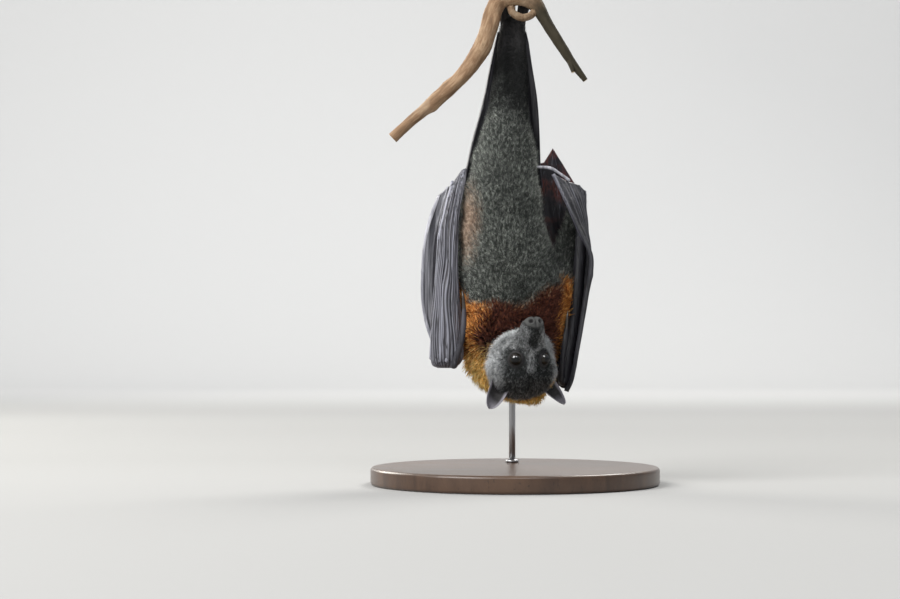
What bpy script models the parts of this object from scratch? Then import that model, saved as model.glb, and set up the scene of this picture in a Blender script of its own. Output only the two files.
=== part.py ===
# Grey-headed flying fox hanging by its feet from a short perch, on a plain display stand.
# Life size. +Z is up, the bat faces -Y, and the origin is under the middle of the base.
# The bat hangs head down, so its own left side lies at -X. Sizes below are in millimetres.
# The outline of every furred piece runs out to the tips of the coat.
import math

import bmesh
import bpy
import numpy as np
from mathutils import Matrix, Vector

MM = 0.001
GAP = 0.3              # clearance between pieces that touch

# display stand
BASE_RADIUS = 130.0
BASE_HEIGHT = 16.0
BASE_BEVEL = 3.0
ROD_RADIUS = 3.0
ROD_X = -1.2
ROD_Y = 60.0           # upright part of the rod, behind the back
ROD_BEND = 24.0        # radius of the bend at the top

# perch: x, y, z and radius over the crest that the feet grip, then down to both cut ends
CREST_Z = 438.0
PERCH_RADIUS = 8.2
PERCH = [(-110, 3, 312, 5.0), (-95, 2, 326, 4.9), (-82, 1, 337, 5.4), (-70, 1, 347, 6.6), (-56, 0, 359, 6.2),
         (-44, 0, 372, 7.0), (-36, 0, 383, 7.8), (-29, 0, 395, 8.1), (-23.5, 0, 411, 7.8),
         (-19.5, 0, 425.5, 7.8), (-13, 0, 436, 8.0), (0, 0, 439, PERCH_RADIUS), (11, 0, 437.5, 7.9),
         (19.5, 0, 431, 6.8),
         (26.5, 0, 419, 5.4), (35, 0, 405, 4.9), (44.6, 1, 390, 4.5), (52, 2, 379, 3.8),
         (58.5, 2.5, 370.5, 3.1), (63.5, 3, 364, 2.4)]
PERCH_LOOP = [(-4, 0, 431, 4.0), (-2, -4, 424, 3.7), (6.5, -4.5, 419.8, 3.7), (15, -3, 422.5, 3.7),
              (19, 0, 430, 4.0)]
PERCH_SPUR = [(48, 1.5, 385, 3.4), (50.6, 0, 377, 2.7), (52.2, -1, 371, 1.7)]

# trunk and neck: z, centre x, centre y, half width, half depth
SHOULDER_Z = 152
TRUNK = [(353, -3.5, 12, 6, 6), (349, -4, 12, 12, 11), (341, -5.5, 12, 17.5, 15.5), (326, -7.2, 11, 21.6, 20),
         (301, -8.2, 9, 26.2, 24.5), (278, -10.5, 7, 31, 28.5), (256, -11.2, 6, 35.3, 32), (232, -10.5, 6, 38.5, 34),
         (205, -7.2, 6, 43.3, 36), (178, -3.6, 7, 47.4, 36), (SHOULDER_Z, -3, 9, 47, 33.5)]
NECK = [(SHOULDER_Z, -3, 9, 47, 33.5), (130, -3.5, 9, 44.5, 31), (109, -2, 8, 42, 29), (93, 1, 5, 35, 25),
        (82, 4, 2, 25, 19), (76, 6, 0, 14, 12), (74, 7, 0, 6, 6)]

# head: place and aim of its long axis, back of the skull to nose
HEAD_ORIGIN = (1.9, -11.0, 81.5)
HEAD_TILT = 33.0       # degrees that the nose leans forward from straight up
HEAD_YAW = 18.5        # degrees that the face turns to +X
# station along the axis, half width, height above the axis, depth below it
HEAD = [(-1, 6, 3, 5), (1.5, 15, 7, 12), (6, 24, 12.5, 20), (14, 30, 19.5, 25.5), (24, 32.5, 23.5, 27),
        (34, 29.5, 23.5, 25), (42, 23.5, 20.5, 21.5), (50, 18, 16.5, 17), (60, 14.6, 12, 12.4),
        (71, 11.4, 9.8, 10), (78, 9.2, 8.2, 8.4), (82, 5.2, 4.4, 4.4)]
JOWL_CENTRE = (36.5, 0.0, -12.0)     # the full fur of both cheeks and the throat, one flat egg
JOWL_RADII = (26.5, 29.8, 12.0)
EYE_RADIUS = 6.3
EYE_PLACE = (44.5, 12.7, 8.8)        # along the axis, to the side, above the axis
EAR_ROOT = (15.0, 22.5, 8.5)
EAR_LENGTH = 28.0
EAR_WIDTH = 18.5
EAR_BURIED = 0.19      # share of the ear that starts inside the head's coat
EAR_CUP = 5.5
EAR_SPREAD = {"left": 0.42, "right": 0.70}     # how far each ear leans out
EAR_FACE = {"left": 0.2, "right": 0.55}        # how far its hollow turns out
EAR_BLUNT = {"left": 4.0, "right": 1.8}        # higher is squarer at the tip

# legs and feet: x, y, z and radius
LEG_LEFT = [(-14.5, 9, 312, 12.5), (-13.6, 10, 344, 10.5), (-11.2, 11, 376, 8.0), (-10.2, 12, 396, 7.1),
            (-7.6, 12.5, 414, 5.6)]
LEG_RIGHT = [(0.5, 9, 312, 12), (3.6, 10, 344, 10.4), (4.2, 11, 376, 8.0), (4.1, 12, 396, 7.1),
             (4.0, 12.5, 414, 5.6)]
FOOT_X = {"left": -10.9, "right": 9.0}
TOE_SPACING = 2.2
TOE_RADIUS = 1.25
CLAW_RADIUS = 1.0

# arms: shoulder, elbow and wrist, as x, y, z and radius
ARM_LEFT = [(-34, 14, 160, 12), (-44, 22, 215, 9), (-49, 27, 262, 7)]
FOREARM_LEFT = [(-50, 26, 270, 6), (-56, 21, 225, 5.4), (-61, 14, 160, 4.6), (-62, 7, 112, 5.0)]
ARM_RIGHT = [(34, 16, 160, 12), (48, 26, 215, 9), (57, 27, 252, 6.5)]
FOREARM_RIGHT = [(60.5, 24, 262, 5.2), (60, 22, 222, 5.0), (55, 15, 160, 4.6), (44, 5, 92, 4.8)]
THUMB_LEFT = [(-53, -14, 112, 3.2), (-48.5, -18.5, 128, 2.5), (-46.5, -20, 146, 2.3), (-46, -19.5, 158, 2.0)]
THUMB_CLAW_LEFT = [(-46.2, -19.8, 159.5, 1.7), (-46.5, -21.5, 165, 1.5), (-47, -21.5, 170, 1.0),
                   (-47.6, -19.8, 174, 0.45)]
THUMB_RIGHT = [(42, 2, 96, 3.0), (42.5, -3, 111, 2.5), (45, -5, 128, 2.3), (46, -4, 140, 2.0)]
THUMB_CLAW_RIGHT = [(46.1, -4.2, 141.5, 1.7), (46.5, -6, 147, 1.5), (46.9, -6, 152, 1.0),
                    (47.5, -4.5, 156, 0.45)]

# the left hand's bundle of fingers: z, centre x, centre y, half width, half depth, tilt
BUNDLE_TOP_Z = 228
HAND_LEFT = [(105, -62, -3, 8, 4, 0.0), (109, -61.5, -4, 13, 8, 0.1), (118, -61.5, -5, 14, 9.5, 0.1),
             (150, -62, -6, 12.5, 10, 0.0), (190, -61.5, -6, 9.5, 9, 0.0),
             (BUNDLE_TOP_Z, -60, -5, 8.5, 7.5, 0.0)]
FINGERS_LEFT = [(BUNDLE_TOP_Z + GAP, -60, -5, 8, 7, 0.0), (246, -57.5, -4, 7.5, 6, 0.15),
                (264, -53, -2, 7, 4.5, 0.25), (276, -49, 0, 5, 3, 0.35), (284, -46, 1, 2.2, 1.4, 0.4)]
FINGER_RIDGES = 9

# wing skin: each wall runs through these columns, points x, y, z from the bottom up
WALL_HALF = 0.7        # half the thickness of plain wing skin
BONE_HALF = 1.9        # and over a finger bone
OUTER_LEFT = [[(-70, 6, 118), (-81, 5, 150), (-83.5, 3, 180), (-80, 4, 225), (-69, 7, 260)],
              [(-67, 8, 116), (-73, 9, 150), (-75, 9, 185), (-72, 10, 225), (-61, 12, 268)],
              [(-62, 14, 114), (-66, 14, 150), (-67, 16, 185), (-63, 20, 225), (-54, 24, 272)]]
INNER_LEFT = [[(-62, 14, 116), (-63, 20, 170), (-60, 25, 225), (-53, 28, 272)],
              [(-50, 24, 116), (-56, 28, 170), (-54, 31, 225), (-46, 31, 274)],
              [(-34, 28, 118), (-38, 33, 170), (-38, 33, 225), (-32, 26, 276)]]
REAR_RIGHT = [[(26, 26, 100), (32, 32, 150), (26, 35, 205), (19, 32, 250), (13, 25, 288)],
              [(30, 23, 96), (38, 32, 150), (43, 35, 205), (38, 34, 250), (27, 24, 291)],
              [(34, 20, 92), (44, 30, 150), (50, 34, 205), (46, 34, 255), (35, 26, 304)],
              [(41, 10, 88), (51, 20, 140), (58, 27, 205), (60.5, 27, 240), (61, 25, 262)]]
FRONT_RIGHT = [[(42, 9, 87), (46.5, 11, 98), (56.5, 19.5, 150), (63, 22.5, 205), (64, 22, 240),
                (64, 22, 265)],
               [(45.5, 4, 86), (51, 6, 98), (60, 12.5, 150), (66.6, 12, 205), (65.2, 14, 238),
                (58.5, 15, 270)],
               [(46.5, 0, 85), (52, 0.5, 98), (60.4, 3, 150), (68, -1, 204), (60, 2.5, 240), (50.5, 5, 267),
                (47, 5.5, 273)],
               [(46, -5, 84), (51, -7.5, 97), (56, -9.5, 124), (63, -12.5, 166), (68, -15, 203),
                (55.4, -10.5, 231), (45, -8, 255), (34, -6, 279)]]
LEG_WEB_LEFT = [[(-47.5, 17, 264), (-43.6, 15, 284), (-37, 12.5, 313), (-28.2, 12, 346), (-21.9, 12, 378),
                 (-15.6, 12.5, 408)],
                [(-40, 21, 262), (-36, 18, 283), (-28, 16, 313), (-20.5, 14, 346), (-15.5, 13, 378),
                 (-12, 12.5, 410)],
                [(-28, 21, 262), (-24, 18, 282), (-18, 17, 313), (-15, 14, 346), (-12, 13, 378),
                 (-10, 12.5, 411)]]
LEG_WEB_RIGHT = [[(25, 17, 268), (23.5, 14, 286), (22.4, 12.5, 317), (20.6, 12, 346), (15.4, 12, 378),
                  (10.5, 12.5, 408)],
                 [(20, 20, 266), (18.5, 18, 285), (15.5, 16, 317), (12.5, 14, 346), (8.5, 13, 378),
                  (7, 12.5, 410)],
                 [(10, 20, 266), (9, 18, 284), (7, 17, 317), (5, 14, 346), (5, 13, 378), (5, 12.5, 411)]]


whole_shapes = {}      # each body's mesh before its neighbours are cut out of it


def clear_scene():
    for item in list(bpy.data.objects):
        bpy.data.objects.remove(item, do_unlink=True)


def make_material(name, colour, roughness, metallic=0.0):
    material = bpy.data.materials.new(name)
    material.use_nodes = True
    shader = material.node_tree.nodes["Principled BSDF"]
    shader.inputs["Base Color"].default_value = (*colour, 1.0)
    shader.inputs["Roughness"].default_value = roughness
    shader.inputs["Metallic"].default_value = metallic
    material.diffuse_color = (*colour, 1.0)
    return material


def smooth_rows(rows, steps):
    """Rows of numbers along a path, read from a smooth curve through them."""
    rows = np.asarray(rows, float)
    ends = np.vstack([2 * rows[0] - rows[1], rows, 2 * rows[-1] - rows[-2]])
    out = []
    for i in range(len(rows) - 1):
        a, b, c, d = ends[i:i + 4]
        for t in np.linspace(0, 1, steps, endpoint=False):
            out.append(0.5 * (2 * b + (c - a) * t + (2 * a - 5 * b + 4 * c - d) * t ** 2
                              + (3 * b - a - 3 * c + d) * t ** 3))
    out.append(rows[-1])
    return np.array(out)


def add_object(name, mesh_data, material):
    mesh = bpy.data.meshes.new(name)
    mesh_data.to_mesh(mesh)
    mesh_data.free()
    item = bpy.data.objects.new(name, mesh)
    bpy.context.collection.objects.link(item)
    mesh.materials.append(material)
    mesh.shade_smooth()
    mesh.set_sharp_from_angle(angle=math.radians(35))
    whole_shapes[name] = mesh.copy()
    return item


def loft(name, rings, material):
    """A closed body through rings of equal count, with a fan over each end."""
    body = bmesh.new()
    rows = [[body.verts.new(Vector(p) * MM) for p in ring] for ring in rings]
    count = len(rows[0])
    for low, high in zip(rows, rows[1:]):
        for i in range(count):
            j = (i + 1) % count
            body.faces.new((low[i], low[j], high[j], high[i]))
    for ring, turn in ((rows[0], -1), (rows[-1], 1)):
        middle = sum((v.co for v in ring), Vector()) / count
        tip = body.verts.new(middle)
        for i in range(count):
            pair = (ring[i], ring[(i + 1) % count])
            body.faces.new((*pair[::turn], tip))
    bmesh.ops.recalc_face_normals(body, faces=body.faces)
    if body.calc_volume(signed=True) < 0:
        bmesh.ops.reverse_faces(body, faces=body.faces)
    return add_object(name, body, material)


def oval(centre, side, up, half_side, half_up, half_down, count):
    ring = []
    for i in range(count):
        angle = math.tau * i / count
        lift = half_up if math.sin(angle) > 0 else half_down
        ring.append(Vector(centre) + Vector(side) * (half_side * math.cos(angle))
                    + Vector(up) * (lift * math.sin(angle)))
    return ring


def level_loft(name, stations, count, steps, material):
    """A body of level oval sections, from z, centre x, centre y, half width and half depth."""
    rings = []
    for z, x, y, wide, deep in smooth_rows(stations, steps):
        rings.append(oval((x, y, z), (1, 0, 0), (0, 1, 0), wide, deep, deep, count))
    return loft(name, rings, material)


def tube(name, path, count, steps, material, flat=1.0, side=(1, 0, 0), rounded=(True, True)):
    """A body round a smooth path of x, y, z and radius; flat squashes it across its side."""
    rows = smooth_rows(path, steps)
    points = [Vector(r[:3]) for r in rows]
    rings = []
    for i, point in enumerate(points):
        along = (points[min(i + 1, len(points) - 1)] - points[max(i - 1, 0)]).normalized()
        across = (Vector(side) - along * along.dot(Vector(side))).normalized()
        up = along.cross(across)
        radius = rows[i][3]
        ends = []
        if i == 0 and rounded[0]:
            ends = [(-0.75, 0.6)]
        if i == len(points) - 1 and rounded[1]:
            ends = [(0.75, 0.6)]
        ring = oval(point, across, up, radius, radius * flat, radius * flat, count)
        cap = [oval(point + along * radius * s, across, up, radius * k, radius * k * flat,
                    radius * k * flat, count) for s, k in ends]
        rings += cap + [ring] if i == 0 else [ring] + cap
    return loft(name, rings, material)


def sheet(name, centre, half, material):
    """A thin wall about a grid of points, with half its thickness given at each."""
    centre = np.asarray(centre, float)
    along = np.gradient(centre, axis=0)
    across = np.gradient(centre, axis=1)
    normal = np.cross(along, across)
    normal /= np.linalg.norm(normal, axis=2, keepdims=True)
    front = centre + normal * np.asarray(half)[..., None]
    back = centre - normal * np.asarray(half)[..., None]
    body = bmesh.new()
    rows, columns = centre.shape[:2]
    sides = []
    for layer in (front, back):
        points = [[Vector(layer[i, j]) * MM for j in range(columns)] for i in range(rows)]
        sides.append([[body.verts.new(point) for point in row] for row in points])
    for i in range(rows - 1):
        for j in range(columns - 1):
            a, b = sides
            body.faces.new((a[i][j], a[i + 1][j], a[i + 1][j + 1], a[i][j + 1]))
            body.faces.new((b[i][j], b[i][j + 1], b[i + 1][j + 1], b[i + 1][j]))
    rim = [(i, 0) for i in range(rows)] + [(rows - 1, j) for j in range(1, columns)]
    rim += [(i, columns - 1) for i in range(rows - 2, -1, -1)] + [(0, j) for j in range(columns - 2, 0, -1)]
    for (i, j), (k, m) in zip(rim, rim[1:] + rim[:1]):
        body.faces.new((sides[0][i][j], sides[0][k][m], sides[1][k][m], sides[1][i][j]))
    bmesh.ops.recalc_face_normals(body, faces=body.faces)
    if body.calc_volume(signed=True) < 0:
        bmesh.ops.reverse_faces(body, faces=body.faces)
    return add_object(name, body, material)


def grown_copy(item, gap):
    """A copy of the uncut body whose surface stands out by the gap."""
    body = bmesh.new()
    body.from_mesh(whole_shapes[item.name])
    body.normal_update()
    shifts = [(v, v.normal * (gap * MM * min(v.calc_shell_factor(), 2.5))) for v in body.verts]
    for vertex, shift in shifts:
        vertex.co += shift
    mesh = bpy.data.meshes.new("grown")
    body.to_mesh(mesh)
    body.free()
    copy = bpy.data.objects.new("grown", mesh)
    bpy.context.collection.objects.link(copy)
    return copy


def boolean(item, other, operation):
    modifier = item.modifiers.new("cut", "BOOLEAN")
    modifier.operation = operation
    modifier.object = other
    modifier.solver = "EXACT"
    graph = bpy.context.evaluated_depsgraph_get()
    mesh = bpy.data.meshes.new_from_object(item.evaluated_get(graph))
    item.modifiers.clear()
    item.data = mesh


def keep_largest(item):
    """Drop the chips that a cut leaves, so that one body remains."""
    body = bmesh.new()
    body.from_mesh(item.data)
    bmesh.ops.remove_doubles(body, verts=body.verts, dist=0.000002)
    bmesh.ops.dissolve_degenerate(body, edges=body.edges, dist=0.000002)
    left = set(body.verts)
    islands = []
    while left:
        seed = left.pop()
        island = {seed}
        queue = [seed]
        while queue:
            for edge in queue.pop().link_edges:
                for vertex in edge.verts:
                    if vertex in left:
                        left.discard(vertex)
                        island.add(vertex)
                        queue.append(vertex)
        islands.append(island)
    islands.sort(key=lambda isle: -len(isle))
    drop = [v for isle in islands[1:] for v in isle]
    bmesh.ops.delete(body, geom=drop, context="VERTS")
    body.to_mesh(item.data)
    body.free()


def carve(item, *others, gap=GAP):
    """Cut the neighbours' shapes out of a body, leaving the gap."""
    for other in others:
        cutter = grown_copy(other, gap)
        boolean(item, cutter, "DIFFERENCE")
        bpy.data.objects.remove(cutter, do_unlink=True)
    keep_largest(item)
    return item


def join(item, *others):
    for other in others:
        boolean(item, other, "UNION")
        bpy.data.objects.remove(other, do_unlink=True)
    keep_largest(item)
    whole_shapes[item.name] = item.data.copy()
    return item


def blend_columns(columns, rows, between):
    """A grid of points: each column is a smooth path, and the wall runs straight between them."""
    paths = []
    for column in columns:
        fine = smooth_rows(column, 12)
        length = np.concatenate([[0], np.cumsum(np.linalg.norm(np.diff(fine, axis=0), axis=1))])
        wanted = np.linspace(0, length[-1], rows)
        paths.append(np.stack([np.interp(wanted, length, fine[:, k]) for k in range(3)], axis=1))
    paths = np.array(paths)
    places = np.linspace(0, len(paths) - 1, (len(paths) - 1) * between + 1)
    low = np.minimum(places.astype(int), len(paths) - 2)
    part = (places - low)[:, None, None]
    return np.swapaxes(paths[low] * (1 - part) + paths[low + 1] * part, 0, 1)


def wall(name, columns, rows, between, material, ridge=WALL_HALF):
    """A curtain of wing skin, with a ridge along each of its columns."""
    grid = blend_columns(columns, rows, between)
    steps = np.arange(grid.shape[1]) % between
    half = np.tile(np.where(steps == 0, ridge, WALL_HALF), (grid.shape[0], 1))
    return sheet(name, grid, half, material)


def head_frame():
    """Unit vectors of the head: to the nose, to the top of the skull, and to +X side."""
    turn = Matrix.Rotation(math.radians(HEAD_YAW), 3, "Z")
    tilt = math.radians(HEAD_TILT)
    nose = turn @ Vector((0, -math.sin(tilt), math.cos(tilt)))
    top = turn @ Vector((0, -math.cos(tilt), -math.sin(tilt)))
    return nose, top, turn @ Vector((1, 0, 0))


def head_point(along, side, up):
    nose, top, across = head_frame()
    return Vector(HEAD_ORIGIN) + nose * along + across * side + top * up


def build_stand(materials):
    inner = BASE_RADIUS - BASE_BEVEL
    profile = [(inner, 0), (BASE_RADIUS, BASE_BEVEL), (BASE_RADIUS, BASE_HEIGHT - BASE_BEVEL),
               (inner, BASE_HEIGHT)]
    rings = [oval((0, 0, z), (1, 0, 0), (0, 1, 0), r, r, r, 36) for r, z in profile]
    loft("stand_base", rings, materials["wood"])
    top = CREST_Z + 1.0
    path = [(ROD_X, ROD_Y, BASE_HEIGHT + GAP, ROD_RADIUS), (ROD_X, ROD_Y, top - ROD_BEND, ROD_RADIUS)]
    for step in range(1, 6):
        angle = math.radians(18 * step)
        path.append((ROD_X, ROD_Y - ROD_BEND * (1 - math.cos(angle)), top - ROD_BEND * (1 - math.sin(angle)),
                     ROD_RADIUS))
    path.append((ROD_X, PERCH_RADIUS - 2.0, top, ROD_RADIUS))
    return tube("stand_rod", path, 10, 1, materials["steel"], rounded=(False, False))


def build_perch(material):
    perch = tube("perch", PERCH, 8, 1, material, side=(0, 1, 0), rounded=(False, False))
    join(perch, tube("loop", PERCH_LOOP, 7, 2, material, side=(0, 1, 0)),
         tube("spur", PERCH_SPUR, 6, 2, material, side=(0, 1, 0)))
    return perch


def perch_centre(x):
    rows = smooth_rows(PERCH, 6)
    return [float(np.interp(x, rows[:, 0], rows[:, k])) for k in (1, 2, 3)]


def over_perch(x, angle, reach):
    """A point on the arc over the perch: angle 0 is behind, 90 on top, 180 in front."""
    y, z, radius = perch_centre(x)
    turn = math.radians(angle)
    return (x, y + (radius + reach) * math.cos(turn), z + (radius + reach) * math.sin(turn))


def build_foot(side, perch, materials):
    middle = FOOT_X[side]
    ankle = (LEG_LEFT if side == "left" else LEG_RIGHT)[-1]
    heel = (ankle[0], ankle[1], ankle[2] + GAP)
    ball = over_perch(middle, -14, 4.2)
    arch = ((heel[0] + middle) / 2, (heel[1] + ball[1]) / 2 + 0.6, (heel[2] + ball[2]) / 2)
    rows = [(*heel, 4.6), (*arch, 4.9), (*ball, 6.2)]
    foot = tube("foot_" + side, rows, 8, 2, materials["skin"], flat=0.62, rounded=(False, True))
    toes = []
    for number in range(5):
        x = middle + (number - 2) * TOE_SPACING
        reach = TOE_RADIUS + 0.5
        path = [(*over_perch(x, angle, reach + knuckle), TOE_RADIUS * k)
                for angle, knuckle, k in ((-24, 1.0, 0.9), (14, 0.6, 1), (52, 0.5, 1.05), (86, 0.1, 0.9))]
        toes.append(tube("toe", path, 5, 1, materials["skin"]))
        claw = [(*over_perch(x, angle, CLAW_RADIUS * k + 0.35), CLAW_RADIUS * k)
                for angle, k in ((99, 1.0), (128, 0.85), (156, 0.35))]
        tube("claw_%s_%d" % (side, number + 1), claw, 5, 1, materials["claw"])
    join(foot, *toes)
    carve(foot, perch)
    for number in range(5):
        carve(bpy.data.objects["claw_%s_%d" % (side, number + 1)], foot, perch, gap=0.2)
    return foot


def build_head(materials):
    nose, top, across = head_frame()
    rings = [oval(head_point(s, 0, 0), across, top, wide, high, deep, 18)
             for s, wide, high, deep in smooth_rows(HEAD, 2)]
    head = loft("head", rings, materials["grey_fur"])
    jowl = bmesh.new()
    bmesh.ops.create_icosphere(jowl, subdivisions=2, radius=MM)
    long, wide, deep = JOWL_RADII
    for vertex in jowl.verts:
        s, a, u = vertex.co
        place = head_point(s / MM * long + JOWL_CENTRE[0], a / MM * wide, u / MM * deep + JOWL_CENTRE[2])
        vertex.co = place * MM
    join(head, add_object("jowl", jowl, materials["grey_fur"]))
    along, aside, above = EYE_PLACE
    for name, sign in (("left", -1), ("right", 1)):
        body = bmesh.new()
        place = Matrix.Translation(head_point(along, sign * aside, above) * MM)
        bmesh.ops.create_icosphere(body, subdivisions=2, radius=EYE_RADIUS * MM, matrix=place)
        eye = add_object("eye_" + name, body, materials["eye"])
        carve(head, eye, gap=0.15)
    for name, sign in (("left", -1), ("right", 1)):
        build_ear(name, sign, head, materials["skin"])
    return head


def build_ear(name, sign, head, material):
    """A cupped leaf of skin, broad at its root, with its hollow to the front and side."""
    nose, top, across = head_frame()
    root = head_point(EAR_ROOT[0], sign * EAR_ROOT[1], EAR_ROOT[2])
    reach = (top * 0.55 - nose * 0.5 + across * (EAR_SPREAD[name] * sign)).normalized()
    face = (top * 0.8 + nose * 0.4 + across * (EAR_FACE[name] * sign))
    face = (face - reach * face.dot(reach)).normalized()
    wide = reach.cross(face).normalized()
    rows, columns = 6, 7
    grid = np.zeros((rows, columns, 3))
    for i in range(rows):
        u = i / (rows - 1)
        half = EAR_WIDTH / 2 * (1 - 0.2 * u) * math.sqrt(max(1 - u ** EAR_BLUNT[name], 0.02))
        for j in range(columns):
            v = 2 * j / (columns - 1) - 1
            cup = EAR_CUP * v * v * (1 - 0.6 * u)
            point = root + reach * (EAR_LENGTH * (u - EAR_BURIED)) + wide * (half * v) + face * (cup - 2.0)
            grid[i, j] = point
    half = np.full((rows, columns), 0.8)
    ear = sheet("ear_" + name, grid, half, material)
    return carve(ear, head)


def pleated_rings(stations, ridges, depth, count):
    """Level sections of a folded hand: a flattened oval with a ridge over each finger bone."""
    rings = []
    for z, x, y, wide, deep, tilt in stations:
        ring = []
        for i in range(count):
            angle = math.tau * i / count
            bump = depth * abs(math.cos(ridges * angle / 2)) if math.sin(angle) < 0.35 else 0.0
            px = (wide + bump * 0.4) * math.copysign(abs(math.cos(angle)) ** 0.8, math.cos(angle))
            py = (deep + bump) * math.copysign(abs(math.sin(angle)) ** 0.8, math.sin(angle))
            ring.append(Vector((x + px, y + py, z + tilt * px)))
        rings.append(ring)
    return rings


def build_left_wing(body_parts, materials):
    """The folded wing: hand and fingers lie in one bundle in front of the forearm."""
    skin = materials["skin"]
    forearm = tube("forearm_left", FOREARM_LEFT, 8, 2, skin)
    upper = tube("upper_arm_left", ARM_LEFT, 9, 2, materials["dark_fur"])
    carve(forearm, *body_parts)
    carve(upper, *body_parts, forearm)
    hand = loft("hand_left", pleated_rings(smooth_rows(HAND_LEFT, 1), FINGER_RIDGES, 1.5, 28), skin)
    fingers = loft("fingers_left", pleated_rings(smooth_rows(FINGERS_LEFT, 1), FINGER_RIDGES, 1.0, 28), skin)
    carve(hand, forearm, *body_parts)
    carve(fingers, forearm, *body_parts)
    edge = wall("wing_hand_left", OUTER_LEFT, 10, 2, skin)
    carve(edge, hand, fingers, forearm, upper, *body_parts)
    fold = wall("wing_arm_left", INNER_LEFT, 8, 2, skin)
    carve(fold, hand, fingers, forearm, upper, edge, *body_parts)
    thumb = tube("thumb_left", THUMB_LEFT, 6, 2, skin)
    carve(thumb, hand, *body_parts)
    claw = tube("claw_thumb_left", THUMB_CLAW_LEFT, 5, 1, materials["claw"])
    carve(claw, thumb, hand, *body_parts)


def build_right_wing(body_parts, materials):
    """The half-open wing: a curtain from the flank round the forearm to the front finger."""
    skin = materials["skin"]
    forearm = tube("forearm_right", FOREARM_RIGHT, 8, 2, skin)
    upper = tube("upper_arm_right", ARM_RIGHT, 9, 2, materials["dark_fur"])
    carve(forearm, *body_parts)
    carve(upper, *body_parts, forearm)
    back = wall("wing_arm_right", REAR_RIGHT, 11, 2, skin)
    carve(back, forearm, upper, *body_parts)
    hand = wall("hand_right", FRONT_RIGHT, 14, 2, skin, ridge=BONE_HALF)
    carve(hand, forearm, upper, back, *body_parts)
    thumb = tube("thumb_right", THUMB_RIGHT, 6, 2, skin)
    carve(thumb, forearm, hand, back, *body_parts)
    claw = tube("claw_thumb_right", THUMB_CLAW_RIGHT, 5, 1, materials["claw"])
    carve(claw, thumb, hand, back, *body_parts)


def build_leg_membranes(body_parts, materials):
    """The strips of wing that run up both sides to the ankles."""
    for name, columns in (("left", LEG_WEB_LEFT), ("right", LEG_WEB_RIGHT)):
        strip = wall("wing_leg_" + name, columns, 8, 2, materials["skin"])
        carve(strip, *body_parts, *[bpy.data.objects[n + "_" + name] for n in
                                    ("wing_arm", "upper_arm", "forearm")])


def build_bat():
    clear_scene()
    materials = {
        "wood": make_material("dark_wood", (0.10, 0.06, 0.04), 0.45),
        "steel": make_material("steel", (0.35, 0.35, 0.36), 0.35, 1.0),
        "bark": make_material("bark", (0.33, 0.20, 0.12), 0.85),
        "grey_fur": make_material("grey_fur", (0.16, 0.16, 0.16), 0.9),
        "dark_fur": make_material("dark_fur", (0.06, 0.06, 0.06), 0.9),
        "rufous_fur": make_material("rufous_fur", (0.42, 0.14, 0.04), 0.9),
        "skin": make_material("wing_skin", (0.035, 0.034, 0.04), 0.5),
        "claw": make_material("claw_horn", (0.03, 0.027, 0.025), 0.35),
        "eye": make_material("eye_brown", (0.05, 0.02, 0.01), 0.08),
    }
    rod = build_stand(materials)
    perch = build_perch(materials["bark"])
    carve(rod, perch)
    head = build_head(materials)
    eyes = [bpy.data.objects["eye_left"], bpy.data.objects["eye_right"]]
    ears = [bpy.data.objects["ear_left"], bpy.data.objects["ear_right"]]
    trunk = level_loft("trunk", [(z + GAP / 2 if z == SHOULDER_Z else z, *rest) for z, *rest in TRUNK], 16, 2,
                       materials["dark_fur"])
    neck = level_loft("neck", [(z - GAP / 2 if z == SHOULDER_Z else z, *rest) for z, *rest in NECK], 16, 2,
                      materials["rufous_fur"])
    carve(neck, head, *eyes, *ears)
    carve(trunk, head)
    legs = []
    for name, path in (("left", LEG_LEFT), ("right", LEG_RIGHT)):
        leg = tube("leg_" + name, path, 9, 2, materials["dark_fur"], rounded=(False, False))
        carve(leg, trunk, *legs)
        legs.append(leg)
        foot = build_foot(name, perch, materials)
        carve(foot, leg)
    body_parts = [head, neck, trunk]
    build_left_wing(body_parts, materials)
    build_right_wing(body_parts, materials)
    build_leg_membranes([trunk, *legs], materials)


build_bat()
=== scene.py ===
import math

import bmesh
import bpy
import numpy as np
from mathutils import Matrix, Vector


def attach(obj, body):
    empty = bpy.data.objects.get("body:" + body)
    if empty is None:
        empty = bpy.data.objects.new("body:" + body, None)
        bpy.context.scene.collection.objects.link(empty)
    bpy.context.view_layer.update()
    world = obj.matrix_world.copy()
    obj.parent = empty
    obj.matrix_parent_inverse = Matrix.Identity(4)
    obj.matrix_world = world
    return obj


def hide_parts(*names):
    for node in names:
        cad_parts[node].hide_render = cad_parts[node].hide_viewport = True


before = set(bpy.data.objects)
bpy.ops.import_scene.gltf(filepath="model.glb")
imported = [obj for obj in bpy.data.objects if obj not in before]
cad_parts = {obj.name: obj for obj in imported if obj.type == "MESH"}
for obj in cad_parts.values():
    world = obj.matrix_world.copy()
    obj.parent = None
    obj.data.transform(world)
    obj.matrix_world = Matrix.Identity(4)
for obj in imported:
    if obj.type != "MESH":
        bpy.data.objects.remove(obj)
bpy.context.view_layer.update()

# A grey-headed flying fox at rest, hanging from a short perch on a display stand.
# Lengths are in millimetres until a mesh is made. The bat faces -Y, and +Z is up.

mm = 0.001


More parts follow.
